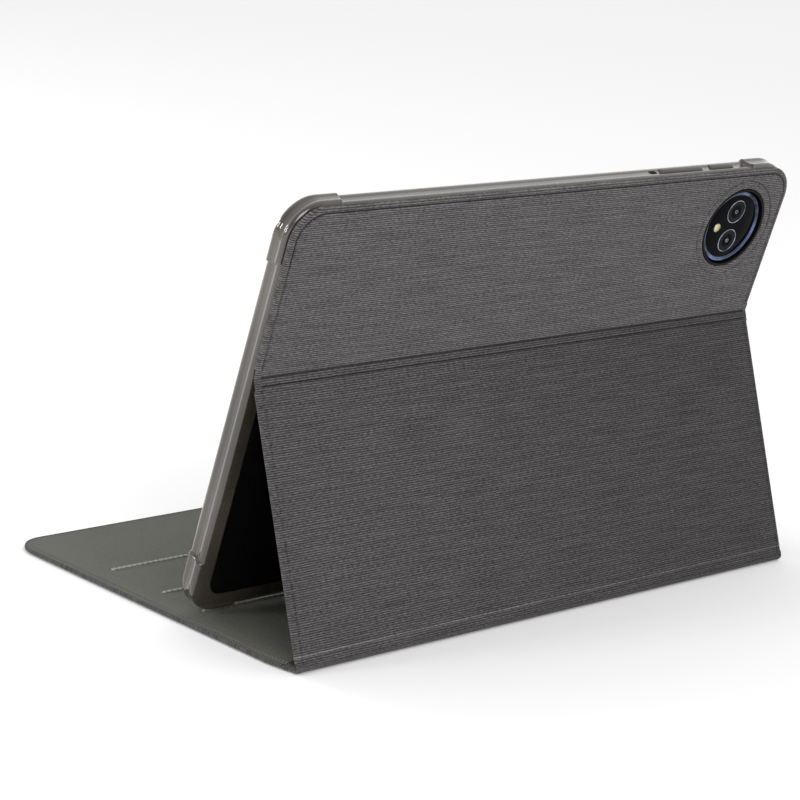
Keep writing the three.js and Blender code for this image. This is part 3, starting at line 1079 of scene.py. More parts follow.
def pressed_lines(s: float, leg_length: float) -> float:
    """Inward push of the lines pressed across the skin.

    Args:
        s: strip length.
        leg_length: foot fold to valley fold.

    Returns:
        The push, negative where the skin stands proud.
    """
    past = s - leg_length
    foot_line = 0.2 * bell(s, 3.3 * MM, 0.35 * MM) - 0.22 * bell(s, 4.3 * MM, 0.45 * MM)
    foot_soft = 0.2 * smooth(-9.0 * MM, -8.2 * MM, s) * (1 - smooth(3.7 * MM, 4.4 * MM, s))
    low_line = 0.42 * bell(past, -3.2 * MM, 0.42 * MM)
    fold_line = 0.4 * bell(past, 0.0, 0.5 * MM)
    return (foot_line + foot_soft + low_line + fold_line) * MM


def cover_half_width(s: float) -> float:
    """Half of the front cover's width, narrowing to the strip's width near the spine.

    Args:
        s: strip length.

    Returns:
        The half width.
    """
    low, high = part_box("cover_skin")
    strip_low, strip_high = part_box("leg_skin")
    wide = (high.x - low.x) / 2
    narrow = (strip_high.x - strip_low.x) / 2
    return wide + (narrow - wide) * smooth(-15 * MM, -3 * MM, s)


def spaced(start: float, end: float, step: float) -> list[float]:
    """Even values from start to end, about a step apart."""
    count = max(1, round((end - start) / step))
    return [start + (end - start) * i / count for i in range(count + 1)]


@dataclass
class FrontCover:
    """Front cover: skin, lining with stand grooves and twisted ribs, on the table."""

    strip: FoldedStrip
    finishes: Finishes
    laminate: Laminate = field(default_factory=Laminate)
    corner: float = 13 * MM
    board_end: float = -9.5 * MM
    fold_start: float = -3.6 * MM
    groove_width: float = 5.6 * MM
    groove_depth: float = 0.24 * MM
    groove_half: float = 126.3 * MM
    grid_low: float = -150 * MM
    grid_high: float = -20 * MM
    rib_radius: float = 0.74 * MM

    @property
    def length(self) -> float:
        """Foot fold to the free edge."""
        return self.strip.foot.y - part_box("cover_skin")[0].y

    def stations(self) -> list[tuple[Point, Point]]:
        """Stations from one end of the spine round the free edge to its other end.

        Returns:
            Pairs of a place and its outward normal.
        """
        low = -self.length
        half = cover_half_width(low)
        rows = spaced(self.board_end, -16 * MM, 1.1 * MM) + self.lining_rows()[::-1]
        left = [((cover_half_width(s), s), (1.0, 0.0)) for s in rows]
        right = [((-x, s), (-1.0, 0.0)) for (x, s), _ in reversed(left)]
        centre = half - self.corner
        first = arc((centre, low + self.corner), self.corner, 0, -90, 14)
        second = arc((-centre, low + self.corner), self.corner, -90, -180, 14)
        return left + first + second + right

    def rim(self, builder: MeshBuilder, section: Loop) -> list[list[int]]:
        """Sweeps a section round the cover.

        Args:
            builder: collects the points and faces.
            section: (inset, depth) points.

        Returns:
            A ring of indices for each station.
        """
        panel = self.strip.panel(Body.COVER)
        rings = []
        for (x, s), (nx, ns) in self.stations():
            ring = []
            for inset, depth in section:
                px, ps = x - nx * inset, s - ns * inset
                mark = Vector((px, ps, pressed_mark(inset, depth)))
                ring.append(builder.add(panel.at(px, ps, depth), mark))
            rings.append(ring)
        builder.skin(rings, closed_ring=False, closed_path=False)
        builder.fill([*rings[0], *rings[-1][::-1]])
        return rings

    def build_skin(self) -> None:
        """Outer skin of the cover's stiff panel and of its soft edge."""
        builder = MeshBuilder()
        rings = self.rim(builder, self.laminate.skin_section(0.0))
        builder.fill([ring[0] for ring in rings])
        builder.fill([ring[-1] for ring in rings])
        panel = builder.build("cover_fabric")
        part = StripPart(self.strip, self.laminate, False, cover_half_width)
        soft = part.band("cover_fabric_soft_edge", spaced(self.board_end, self.fold_start, 0.3 * MM))
        dress(panel, self.finishes.fabric, Body.COVER, Slot.FABRIC, "cover_skin")
        dress(soft, self.finishes.fabric, Body.COVER, Slot.FABRIC)

    def groove_places(self) -> list[float]:
        """Middle of each stand groove, by strip length, nearest the foot first."""
        tray_low = self.strip.foot.y - stand_line(self.strip)
        return [-tray_low, -tray_low - 25 * MM, -tray_low - 57.6 * MM]

    def groove(self, x: float, s: float) -> float:
        """How far the stand grooves lower the lining at a place.

        Args:
            x: across the case.
            s: strip length.

        Returns:
            The depth of the groove there.
        """
        ends = 1 - smooth(self.groove_half - 1.2 * MM, self.groove_half + 0.6 * MM, abs(x))
        half = self.groove_width / 2
        press = 0.0
        for middle in self.groove_places():
            inside = 1 - smooth(half - 0.5 * MM, half + 0.25 * MM, abs(s - middle))
            press += self.groove_depth * inside
        return press * ends

    def lining_rows(self) -> list[float]:
        """Strip lengths of the lining's rows.

        Returns:
            The lengths, from the free end's side to the foot's.
        """
        rows = {self.grid_low, self.grid_high}
        for middle in self.groove_places():
            for side in (-1, 1):
                for offset in (-0.9, -0.55, -0.3, -0.05, 0.2, 0.45):
                    rows.add(middle + side * (self.groove_width / 2 + offset * MM))
        return sorted(rows)

    def build_lining(self) -> None:
        """Lining of the cover's panel, with its grooves pressed in, and of its soft edge."""
        builder = MeshBuilder()
        deep = self.laminate.full
        rings = self.rim(builder, self.laminate.lining_section(0.0))
        inner_top = [ring[0] for ring in rings]
        inner_low = [ring[-1] for ring in rings]
        edge = cover_half_width(-self.length) - self.laminate.rim_reach
        ends = [self.groove_half + offset * MM for offset in (-2.4, -1.2, -0.6, 0.0, 0.6, 1.4)]
        columns = sorted({edge, -edge, *ends, *[-e for e in ends]})
        panel = self.strip.panel(Body.COVER)
        grid = []
        for s in self.lining_rows():
            depth = [deep - self.groove(x, s) for x in columns]
            grid.append([builder.add(panel.at(x, s, d), Vector((x, s, d))) for x, d in zip(columns, depth)])
        builder.skin(grid, closed_ring=False, closed_path=False)
        marks = [builder.marks[i] for i in inner_top]
        free_end = [i for i, m in zip(inner_top, marks) if m.y < self.grid_low - 1e-6]
        spine_end = [i for i, m in zip(inner_top, marks) if m.y > self.grid_high + 1e-6]
        half = len(spine_end) // 2
        builder.fill([grid[0][-1], *free_end, *grid[0][:-1]])
        builder.fill([*spine_end[:half], *grid[-1][::-1], *spine_end[half:]])
        builder.fill(inner_low)
        panel_lining = builder.build("cover_lining_panel")
        part = StripPart(self.strip, self.laminate, True, cover_half_width)
        soft = part.band("cover_lining_soft_edge", spaced(self.board_end, self.fold_start, 0.3 * MM))
        dress(panel_lining, self.finishes.lining, Body.COVER, Slot.LINING, "cover_lining")
        dress(soft, self.finishes.lining, Body.COVER, Slot.LINING)

    def build_ribs(self) -> None:
        """A twisted rib along each groove's far side."""
        panel = self.strip.panel(Body.COVER)
        for number, middle in enumerate(self.groove_places(), start=1):
            line = middle - self.groove_width / 2 - 0.25 * MM
            rib = self.twisted_rib(f"stand_rib_{number}", panel, line)
            dress(rib, self.finishes.rib, Body.COVER, Slot.LINING)

    def twisted_rib(self, name: str, panel: PanelFrame, line: float) -> bpy.types.Object:
        """A two-strand twisted rib that lies half sunk in the lining.

        Args:
            name: the piece's name.
            panel: the cover's frame.
            line: its strip length.

        Returns:
            The object.
        """
        sides, twist_pitch, lobe = 10, 2.6 * MM, 0.28
        end = self.groove_half - 0.4 * MM
        builder = MeshBuilder()
        rings = []
        for x in spaced(-end, end, 0.42 * MM):
            taper = min(1.0, (end - abs(x)) / (1.2 * MM) + 0.25)
            turn = 2 * math.pi * x / twist_pitch
            ring = []
            for k in range(sides):
                angle = 2 * math.pi * k / sides
                radius = self.rib_radius * taper * (1 + lobe * math.cos(2 * (angle - turn / 2)))
                depth = self.laminate.full - 0.25 * MM + 0.72 * radius * math.sin(angle)
                s = line + radius * math.cos(angle)
                ring.append(builder.add(panel.at(x, s, depth), Vector((x, s, depth))))
            rings.append(ring)
        builder.skin(rings, closed_ring=True, closed_path=False)
        builder.fill(rings[0])
        builder.fill(rings[-1])
        return builder.build(name, sharp=80)

    def build(self) -> None:
        """Builds the whole cover."""
        self.build_skin()
        self.build_lining()
        self.build_ribs()


def stand_line(strip: FoldedStrip) -> float:
    """The row-frame y of the tray's lowest edge at rest."""
    obj = frame["nodes"]["tray_frame"]
    return min(obj.data.vertices, key=lambda v: v.co.z).co.y


@dataclass
class LegAndFolds:
    """The leg and the soft folds at the foot and the valley, skin and lining."""

    strip: FoldedStrip
    finishes: Finishes
    laminate: Laminate = field(default_factory=Laminate)
    foot_start: float = -3.6 * MM
    foot_end: float = 5.2 * MM
    valley_start: float = -5.2 * MM
    valley_end: float = 3.9 * MM
    lining_end: float = 1.6 * MM
    bend_reach: float = 2.6 * MM

    def bent(self, obj: bpy.types.Object, bodies: tuple[Body, Body], start: Vector, end: Vector,
             finish: bpy.types.Material, slot: Slot, *nodes: str) -> None:
        """Dresses a fold piece, which rides on no body, and bakes its place into its mesh.

        Args:
            obj: the piece.
            bodies: the body before the fold and the one after; not used.
            start: where it leaves the first body; not used.
            end: where it joins the second; not used.
            finish: its material.
            slot: the record's slot.
            nodes: the frame nodes that it replaces.
        """
        dress(obj, finish, None, slot, *nodes)
        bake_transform(obj)

    def build_layer(self, is_lining: bool) -> None:
        """Builds the foot fold, the leg and the valley fold of one layer.

        Args:
            is_lining: whether the layer is the lining rather than the skin.
        """
        strip, length, reach = self.strip, self.strip.leg_length, self.bend_reach
        word = "lining" if is_lining else "fabric"
        node = "lining" if is_lining else "skin"
        finish = self.finishes.lining if is_lining else self.finishes.fabric
        slot = Slot.LINING if is_lining else Slot.FABRIC
        part = StripPart(strip, self.laminate, is_lining, cover_half_width)
        along = Vector((0.0, 1.0, 0.0))
        foot = part.band(f"foot_{word}", spaced(self.foot_start, self.foot_end, 0.2 * MM))
        self.bent(foot, (Body.COVER, Body.LEG), strip.foot - along * reach, strip.foot + strip.leg_up * reach,
                  finish, slot, f"spine_{node}")
        top = length + self.valley_start
        rows = [self.foot_end, self.foot_end + 0.5 * MM, length / 2, top - 0.5 * MM, top]
        leg = part.band(f"leg_{word}_panel", rows)
        dress(leg, finish, Body.LEG, slot, f"leg_{node}")
        end = self.lining_end if is_lining else self.valley_end
        valley = part.band(f"valley_{word}", spaced(top, length + end, 0.2 * MM))
        self.bent(valley, (Body.LEG, Body.TRAY), strip.valley - strip.leg_up * reach,
                  strip.valley + strip.tray_up * reach, finish, slot, f"hinge_{node}")

    def build(self) -> None:
        """Builds the skin and then the lining."""
        self.build_layer(False)
        self.build_layer(True)


@dataclass
class UpperPanel:
    """The fabric panel glued to the tray, with the camera hole and the line pressed round it."""

    strip: FoldedStrip
    finishes: Finishes
    laminate: Laminate = field(default_factory=Laminate)
    corner: float = 13.5 * MM
    low: float = 3.9 * MM
    hole_radius: float = 17.65 * MM
    ring_radius: float = 21.4 * MM
    ring_reach: float = 22.3 * MM

    def stations(self) -> list[tuple[Point, Point]]:
        """Stations from one lower end round the top to the other.

        Returns:
            Pairs of a place and its outward normal.
        """
        low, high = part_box("upper_skin")
        half = (high.x - low.x) / 2
        top = panel_height(self.strip)
        centre = half - self.corner
        left = [((half, y), (1.0, 0.0)) for y in (self.low, self.low + 1.0 * MM, top / 2)]
        right = [((-x, y), (-1.0, 0.0)) for (x, y), _ in reversed(left)]
        first = arc((centre, top - self.corner), self.corner, 0, 90, 14)
        second = arc((-centre, top - self.corner), self.corner, 90, 180, 14)
        return left + first + second + right

    def build(self) -> None:
        """Builds the panel's skin."""
        builder = MeshBuilder()
        panel = self.strip.panel(Body.TRAY)
        length = self.strip.leg_length
        section = self.laminate.skin_section(0.0)
        rings = []
        for (x, y), (nx, ny) in self.stations():
            ring = []
            for inset, depth in section:
                px, py = x - nx * inset, y - ny * inset
                mark = Vector((px, length + py, pressed_mark(inset, depth)))
                ring.append(builder.add(panel.at(px, py, depth), mark))
            rings.append(ring)
        builder.skin(rings, closed_ring=False, closed_path=False)
        builder.fill([*rings[0], *rings[-1][::-1]])
        hole = self.hole_rings(builder, panel, length)
        builder.fill([ring[0] for ring in rings], [ring[0] for ring in hole])
        builder.fill([ring[-1] for ring in rings], [ring[-1] for ring in hole])
        obj = builder.build("upper_fabric")
        dress(obj, self.finishes.fabric, Body.TRAY, Slot.FABRIC, "upper_skin")

    def hole_rings(self, builder: MeshBuilder, panel: PanelFrame, length: float) -> list[list[int]]:
        """The camera hole's rolled edge and the pressed line round it.

        Args:
            builder: collects the points and faces.
            panel: the tray's frame.
            length: the leg's length, where the panel starts along the strip.

        Returns:
            A ring of indices for each step round the hole.
        """
        centre = camera_centre(self.strip)
        hole, line = self.hole_radius, self.ring_radius
        section = [
            (self.ring_reach, 0.0),
            (line + 0.55 * MM, 0.0),
            (line + 0.25 * MM, -0.06 * MM),
            (line, 0.22 * MM),
            (line - 0.25 * MM, 0.38 * MM),
            (line - 0.6 * MM, 0.14 * MM),
            (line - 1.1 * MM, 0.08 * MM),
            (hole + 1.2 * MM, 0.07 * MM),
            (hole + 0.55 * MM, 0.13 * MM),
            (hole + 0.18 * MM, 0.32 * MM),
            (hole, 0.75 * MM),
            (hole, 1.5 * MM),
            (hole + 0.5 * MM, 1.5 * MM),
            (hole + 0.7 * MM, 0.65 * MM),
            (self.ring_reach, self.laminate.skin),
        ]
        rings = []
        steps = 96
        for i in range(steps):
            angle = 2 * math.pi * i / steps
            ring = []
            for radius, depth in section:
                x = centre[0] + radius * math.cos(angle)
                y = centre[1] + radius * math.sin(angle)
                ring.append(builder.add(panel.at(x, y, depth), Vector((x, length + y, depth))))
            rings.append(ring)
        builder.skin(rings, closed_ring=False, closed_path=True)
        return rings


def panel_height(strip: FoldedStrip) -> float:
    """Valley fold to the upper panel's top edge, from the frame."""
    return max((v.co - strip.valley).dot(strip.tray_up) for v in frame["nodes"]["upper_skin"].data.vertices)


def on_tray(strip: FoldedStrip, node: str) -> tuple[Vector, Vector]:
    """A node's box in the tray's own axes.

    Args:
        strip: the folded strip.
        node: the node's name.

    Returns:
        Its lowest and highest corners as (x, up the tray, depth).
    """
    panel = strip.panel(Body.TRAY)
    places = []
    for vertex in frame["nodes"][node].data.vertices:
        away = vertex.co - panel.origin
        places.append((away.x, away.dot(panel.up), away.dot(panel.inward)))
    return Vector(map(min, zip(*places))), Vector(map(max, zip(*places)))


def camera_centre(strip: FoldedStrip) -> Point:
    """The camera's centre on the tray."""
    low, high = on_tray(strip, "camera_ring")
    return ((low.x + high.x) / 2, (low.y + high.y) / 2)


# ---- the tray ----


@dataclass
class Tray:
    """Soft tray with corner pads, key windows, port and microphone cuts, and its clear plate."""

    strip: FoldedStrip
    finishes: Finishes
    corner: float = 14 * MM
    wall: float = 2.0 * MM
    flange: float = 6.75 * MM
    plate: float = 1.0 * MM
    pad_proud: float = 1.2 * MM
    pad_length: float = 24 * MM
    pad_step: float = 0.8 * MM
    notch: float = 1.8 * MM

    def box(self) -> tuple[float, float, float, float, float]:
        """The tray without its pads.

        Returns:
            Its half width, bottom, top, back and front.
        """
        low, high = on_tray(self.strip, "tray_frame")
        grow = self.pad_proud
        return high.x - grow, low.y + grow, high.y - grow, low.z, high.z

    def profile(self) -> list[tuple[float, float, float]]:
        """Closed section of the wall.

        Returns:
            (outward, depth from the back, share of the pad's growth) points.
        """
        _, _, _, back, front = self.box()
        deep = front - back
        wall, flange = self.wall, self.flange
        return [
            (-flange, 0.35 * MM, 0.0),
            (-flange + 0.1 * MM, 0.08 * MM, 0.0),
            (-flange + 0.35 * MM, 0.0, 0.0),
            (-flange + 0.75 * MM, 0.05 * MM, 0.0),
            (-flange + 1.3 * MM, 0.12 * MM, 0.0),
            (-3.4 * MM, 0.12 * MM, 0.0),
            (-2.6 * MM, 0.06 * MM, 0.1),
            (-1.9 * MM, 0.14 * MM, 0.35),
            (-1.2 * MM, 0.42 * MM, 0.65),
            (-0.65 * MM, 0.85 * MM, 0.85),
            (-0.25 * MM, 1.4 * MM, 1.0),
            (-0.08 * MM, 2.0 * MM, 1.0),
            (-0.1 * MM, 2.5 * MM, 1.0),
            (-0.38 * MM, 2.95 * MM, 1.0),
            (-0.42 * MM, 3.6 * MM, 1.0),
            (-0.42 * MM, deep - 3.4 * MM, 1.0),
            (-0.34 * MM, deep - 2.8 * MM, 1.0),
            (-0.06 * MM, deep - 2.3 * MM, 1.0),
            (0.0, deep - 1.6 * MM, 1.0),
            (-0.12 * MM, deep - 0.85 * MM, 0.9),
            (-0.5 * MM, deep - 0.3 * MM, 0.6),
            (-1.0 * MM, deep, 0.3),
            (-1.5 * MM, deep, 0.1),
            (-wall + 0.1 * MM, deep - 0.2 * MM, 0.0),
            (-wall, deep - 0.6 * MM, 0.0),
            (-wall, deep / 2, 0.0),
            (-wall, self.plate, 0.0),
            (-3.4 * MM, self.plate, 0.0),
            (-flange, self.plate, 0.0),
        ]

    def stations(self) -> list[tuple[Point, Point, float]]:
        """Stations round the tray, close together where a pad ends.

        Returns:
            Triples of a place, its outward normal and its distance from the nearest corner.
        """
        half, low, high, _, _ = self.box()
        middle = (low + high) / 2
        half_up = (high - low) / 2
        fine = spaced(self.pad_length - self.notch - 1.6 * MM, self.pad_length + 1.6 * MM, 0.2 * MM)
        reaches = sorted({self.corner, self.corner + 3 * MM, *fine, self.pad_length + 4 * MM})
        stations = []
        corners = [(1, 1, 0), (-1, 1, 90), (-1, -1, 180), (1, -1, 270)]
        for sx, sy, start in corners:
            vertical_first = start in (0, 180)
            sizes = (half, middle, half_up)
            stations += [self.side_station(sx, sy, r, vertical_first, *sizes) for r in reversed(reaches)]
            centre = (sx * (half - self.corner), middle + sy * (half_up - self.corner))
            turned = arc(centre, self.corner, start, start + 90, 16)[1:-1]
            stations += [(place, normal, 0.0) for place, normal in turned]
            stations += [self.side_station(sx, sy, r, not vertical_first, *sizes) for r in reaches]
        return stations

    @staticmethod
    def side_station(sx: int, sy: int, reach: float, vertical: bool, half: float, middle: float,
                     half_up: float) -> tuple[Point, Point, float]:
        """A station on a straight side.

        Args:
            sx: -1 or 1, the corner's side across.
            sy: -1 or 1, the corner's side up the tray.
            reach: distance from the corner.
            vertical: whether the side runs up the tray.
            half: the tray's half width.
            middle: the tray's middle, up the tray.
            half_up: the tray's half height.

        Returns:
            The place, its outward normal and the reach.
        """
        if vertical:
            return ((sx * half, middle + sy * (half_up - reach)), (float(sx), 0.0), reach)
        return ((sx * (half - reach), middle + sy * half_up), (0.0, float(sy)), reach)

    def build_frame(self) -> bpy.types.Object:
        """The soft frame with its corner pads, before anything is cut from it.

        Returns:
            The object.
        """
        builder = MeshBuilder()
        panel = self.strip.panel(Body.TRAY)
        back = self.box()[3]
        profile = self.profile()
        rings = []
        for (x, y), (nx, ny), reach in self.stations():
            ring = []
            for outward, depth, share in profile:
                lean = self.notch * (1 - abs(depth - 1.2 * MM) / (3.6 * MM)) if depth < 4.8 * MM else 0.0
                end = self.pad_length - max(lean, 0.0)
                pad = 1 - smooth(end - self.pad_step / 2, end + self.pad_step / 2, reach)
                out = outward + self.pad_proud * share * pad
                ring.append(builder.add(panel.at(x + nx * out, y + ny * out, back + depth)))
            rings.append(ring)
        builder.skin(rings, closed_ring=True, closed_path=True)
        return builder.build("tray_frame_soft", sharp=40)

    def cutter(self, name: str, low: Vector, high: Vector, bevel: float) -> bpy.types.Object:
        """A rounded block in the tray's axes, to cut with.

        Args:
            name: a working name.
            low: lowest corner as (x, up, depth).
            high: highest corner.
            bevel: the radius of its edges.

        Returns:
            The cutter.
        """
        return rounded_block(name, self.strip.panel(Body.TRAY), low, high, bevel, 3)

    def cutters(self) -> list[bpy.types.Object]:
        """Cutters for the two key windows, the microphone's notch and the port.

        Returns:
            The cutters.
        """
        half, _, top, back, _ = self.box()
        made = []
        gap = Vector((0.35, 0.0, 0.35)) * MM
        past = Vector((0.0, 3.0, 0.0)) * MM
        for node in ("volume_key_cover", "power_key_cover"):
            low, high = on_tray(self.strip, node)
            made.append(self.cutter(f"window_{node}", low - gap - past, high + gap + past, 1.2 * MM))
        low, high = on_tray(self.strip, "volume_key_cover")
        depth = (low.z + high.z) / 2
        mic_low = Vector((high.x + 2.1 * MM, top - 4 * MM, depth - 1.2 * MM))
        mic_high = Vector((high.x + 6.5 * MM, top + 3 * MM, depth + 1.2 * MM))
        made.append(self.cutter("mic_notch", mic_low, mic_high, 0.9 * MM))
        tablet_low, tablet_high = on_tray(self.strip, "tablet_housing")
        middle = (tablet_low.y + tablet_high.y) / 2
        port_low = Vector((-half - 3 * MM, middle - 7 * MM, depth - 3.1 * MM))
        port_high = Vector((-half + self.wall + 1 * MM, middle + 7 * MM, depth + 3.1 * MM))
        made.append(self.cutter("port_cut", port_low, port_high, 2.6 * MM))
        return made

    def build_plate(self) -> bpy.types.Object:
        """The clear back plate with its camera hole.

        Returns:
            The object.
        """
        builder = MeshBuilder()
        panel = self.strip.panel(Body.TRAY)
        half, low, high, back, _ = self.box()
        inset = self.flange + 0.25 * MM
        radius = self.corner - self.flange - 0.25 * MM
        section = [
            (0.5 * MM, 0.05 * MM),
            (0.15 * MM, 0.1 * MM),
            (0.0, 0.3 * MM),
            (0.0, 0.9 * MM),
            (0.5 * MM, 0.95 * MM),
        ]
        stations = []
        middle = (low + high) / 2
        wide, tall = half - inset - radius, (high - low) / 2 - inset - radius
        for sx, sy, start in ((1, 1, 0), (-1, 1, 90), (-1, -1, 180), (1, -1, 270)):
            stations += arc((sx * wide, middle + sy * tall), radius, start, start + 90, 12)
        rings = []
        for (x, y), (nx, ny) in stations:
            rings.append([builder.add(panel.at(x - nx * d, y - ny * d, back + z)) for d, z in section])
        builder.skin(rings, closed_ring=False, closed_path=True)
        centre = camera_centre(self.strip)
        hole = []
        for i in range(64):
            angle = 2 * math.pi * i / 64
            x, y = centre[0] + 17.7 * MM * math.cos(angle), centre[1] + 17.7 * MM * math.sin(angle)
            hole.append([builder.add(panel.at(x, y, back + z)) for z in (0.05 * MM, 0.95 * MM)])
        builder.skin(hole, closed_ring=False, closed_path=True)
        builder.fill([ring[0] for ring in rings], [ring[0] for ring in hole])
        builder.fill([ring[-1] for ring in rings], [ring[-1] for ring in hole])
        return builder.build("tray_back_plate")

    def build(self) -> None:
        """Builds the tray and its plate."""
        soft = self.build_frame()
        cut(soft, self.cutters())
        finish_mesh(soft, sharp=38)
        dress(soft, self.finishes.tray, Body.TRAY, Slot.TRAY, "tray_frame")
        dress(self.build_plate(), self.finishes.plate, Body.TRAY, Slot.PLATE, "back_plate")


def rounded_block(name: str, panel: PanelFrame, low: Vector, high: Vector, bevel: float,
                  segments: int) -> bpy.types.Object:
    """A block with rounded edges, in a panel's axes.

    Args:
        name: the piece's name.
        panel: the panel's frame.
        low: lowest corner as (x, up, depth).
        high: highest corner.
        bevel: the radius of the edges.
        segments: how many spans round an edge.

    Returns:
        The object.
    """
    corners = [(x, y, z) for x in (low.x, high.x) for y in (low.y, high.y) for z in (low.z, high.z)]
    faces = [(0, 1, 3, 2), (4, 6, 7, 5), (0, 4, 5, 1), (2, 3, 7, 6), (0, 2, 6, 4), (1, 5, 7, 3)]
    obj = new_object(name, [Vector(c) for c in corners], faces)
    bm = bmesh.new()
    bm.from_mesh(obj.data)
    bmesh.ops.recalc_face_normals(bm, faces=bm.faces)
    size = min(high.x - low.x, high.y - low.y, high.z - low.z)
    width = min(bevel, size * 0.49)
    bmesh.ops.bevel(bm, geom=bm.edges[:], offset=width, segments=segments, profile=0.5, affect="EDGES")
    for vertex in bm.verts:
        vertex.co = panel.at(*vertex.co)
    bm.to_mesh(obj.data)
    bm.free()
    return finish_mesh(obj)


@dataclass
class Keys:
    """Soft key covers in the tray's top edge and the tablet's keys behind them."""

    strip: FoldedStrip
    finishes: Finishes

    def build(self) -> None:
        """Builds both covers and both keys."""
        panel = self.strip.panel(Body.TRAY)
        rows = [
            ("volume_key_cover", Body.VOLUME_COVER, Slot.KEY_COVER, self.finishes.key_cover, 1.1),
            ("power_key_cover", Body.POWER_COVER, Slot.KEY_COVER, self.finishes.key_cover, 1.1),
            ("tablet_volume_key", Body.VOLUME_KEY, Slot.METAL, self.finishes.metal, 0.5),
            ("tablet_power_key", Body.POWER_KEY, Slot.METAL, self.finishes.metal, 0.5),
        ]
        for node, body, slot, finish, bevel in rows:
            low, high = on_tray(self.strip, node)
            obj = rounded_block(f"{node}_moulded", panel, low, high, bevel * MM, 4)
            dress(obj, finish, body, slot, node)


# ---- the tablet ----


@dataclass
class Tablet:
    """The tablet in the tray: its housing and its screen glass."""

    strip: FoldedStrip
    finishes: Finishes
    corner: float = 11.7 * MM

    def outline(self, low: Vector, high: Vector, corner: float) -> list[tuple[Point, Point]]:
        """Stations round a rounded rectangle.

        Args:
            low: lowest corner as (x, up, depth).
            high: highest corner.
            corner: its corner radius.

        Returns:
            Pairs of a place and its outward normal.
        """
        cx, cy = (low.x + high.x) / 2, (low.y + high.y) / 2
        wide, tall = (high.x - low.x) / 2 - corner, (high.y - low.y) / 2 - corner
        stations = []
        for sx, sy, start in ((1, 1, 0), (-1, 1, 90), (-1, -1, 180), (1, -1, 270)):
            stations += arc((cx + sx * wide, cy + sy * tall), corner, start, start + 90, 14)
        return stations

    def slab(self, name: str, low: Vector, high: Vector, corner: float,
             section: Sequence[Point]) -> bpy.types.Object:
        """A flat rounded slab with a shaped edge.

        Args:
            name: the piece's name.
            low: lowest corner as (x, up, depth).
            high: highest corner.
            corner: its corner radius.
            section: (inset, depth) points of the edge, back face first.

        Returns:
            The object.
        """
        builder = MeshBuilder()
        panel = self.strip.panel(Body.TRAY)
        rings = []
        for (x, y), (nx, ny) in self.outline(low, high, corner):
            rings.append([builder.add(panel.at(x - nx * d, y - ny * d, z)) for d, z in section])
        builder.skin(rings, closed_ring=False, closed_path=True)
        builder.fill([ring[0] for ring in rings])
        builder.fill([ring[-1] for ring in rings])
        return builder.build(name)

    def build(self) -> None:
        """Builds the housing with its pockets, and the screen glass."""
        low, high = on_tray(self.strip, "tablet_housing")
        back, front = low.z, high.z
        rim = 1.6 * MM
        section = [
            (2.2 * MM, back),
            (1.2 * MM, back + 0.06 * MM),
            (0.5 * MM, back + 0.35 * MM),
            (0.12 * MM, back + 0.95 * MM),
            (0.0, back + 1.8 * MM),
            (0.0, front - 1.4 * MM),
            (0.15 * MM, front - 0.55 * MM),
            (0.6 * MM, front - 0.1 * MM),
            (1.2 * MM, front),
            (rim, front - 0.05 * MM),
            (rim + 0.02 * MM, front - 1.15 * MM),
            (3.0 * MM, front - 1.2 * MM),
        ]
        housing = self.slab("tablet_housing_shell", low, high, self.corner, section)
        cut(housing, self.pockets(low, high))
        finish_mesh(housing)
        dress(housing, self.finishes.metal, Body.TABLET, Slot.METAL, "tablet_housing")
        glass_low, glass_high = on_tray(self.strip, "tablet_screen_glass")
        face = glass_high.z
        section = [
            (1.0 * MM, glass_low.z),
            (0.0, glass_low.z + 0.05 * MM),
            (0.0, face - 0.4 * MM),
            (0.1 * MM, face - 0.15 * MM),
            (0.35 * MM, face),
            (1.0 * MM, face),
        ]
        glass = self.slab("tablet_glass", glass_low, glass_high, self.corner - 1.9 * MM, section)
        dress(glass, self.finishes.screen, Body.TABLET, Slot.SCREEN, "tablet_screen_glass")

    def pockets(self, low: Vector, high: Vector) -> list[bpy.types.Object]:
        """Cutters for the key pockets and the charging socket.

        Args:
            low: the housing's lowest corner.
            high: its highest corner.

        Returns:
            The cutters.
        """
        panel = self.strip.panel(Body.TRAY)
        made = []
        for node in ("tablet_volume_key", "tablet_power_key"):
            key_low, key_high = on_tray(self.strip, node)
            gap = Vector((0.3, 0.75, 0.3)) * MM
            made.append(rounded_block(f"pocket_{node}", panel, key_low - gap, key_high + gap, 0.7 * MM, 3))
        depth = (key_low.z + key_high.z) / 2
        middle = (low.y + high.y) / 2
        port_low = Vector((low.x - 1 * MM, middle - 4.5 * MM, depth - 1.6 * MM))
        port_high = Vector((low.x + 5 * MM, middle + 4.5 * MM, depth + 1.6 * MM))
        made.append(rounded_block("socket", panel, port_low, port_high, 1.55 * MM, 4))
        return made


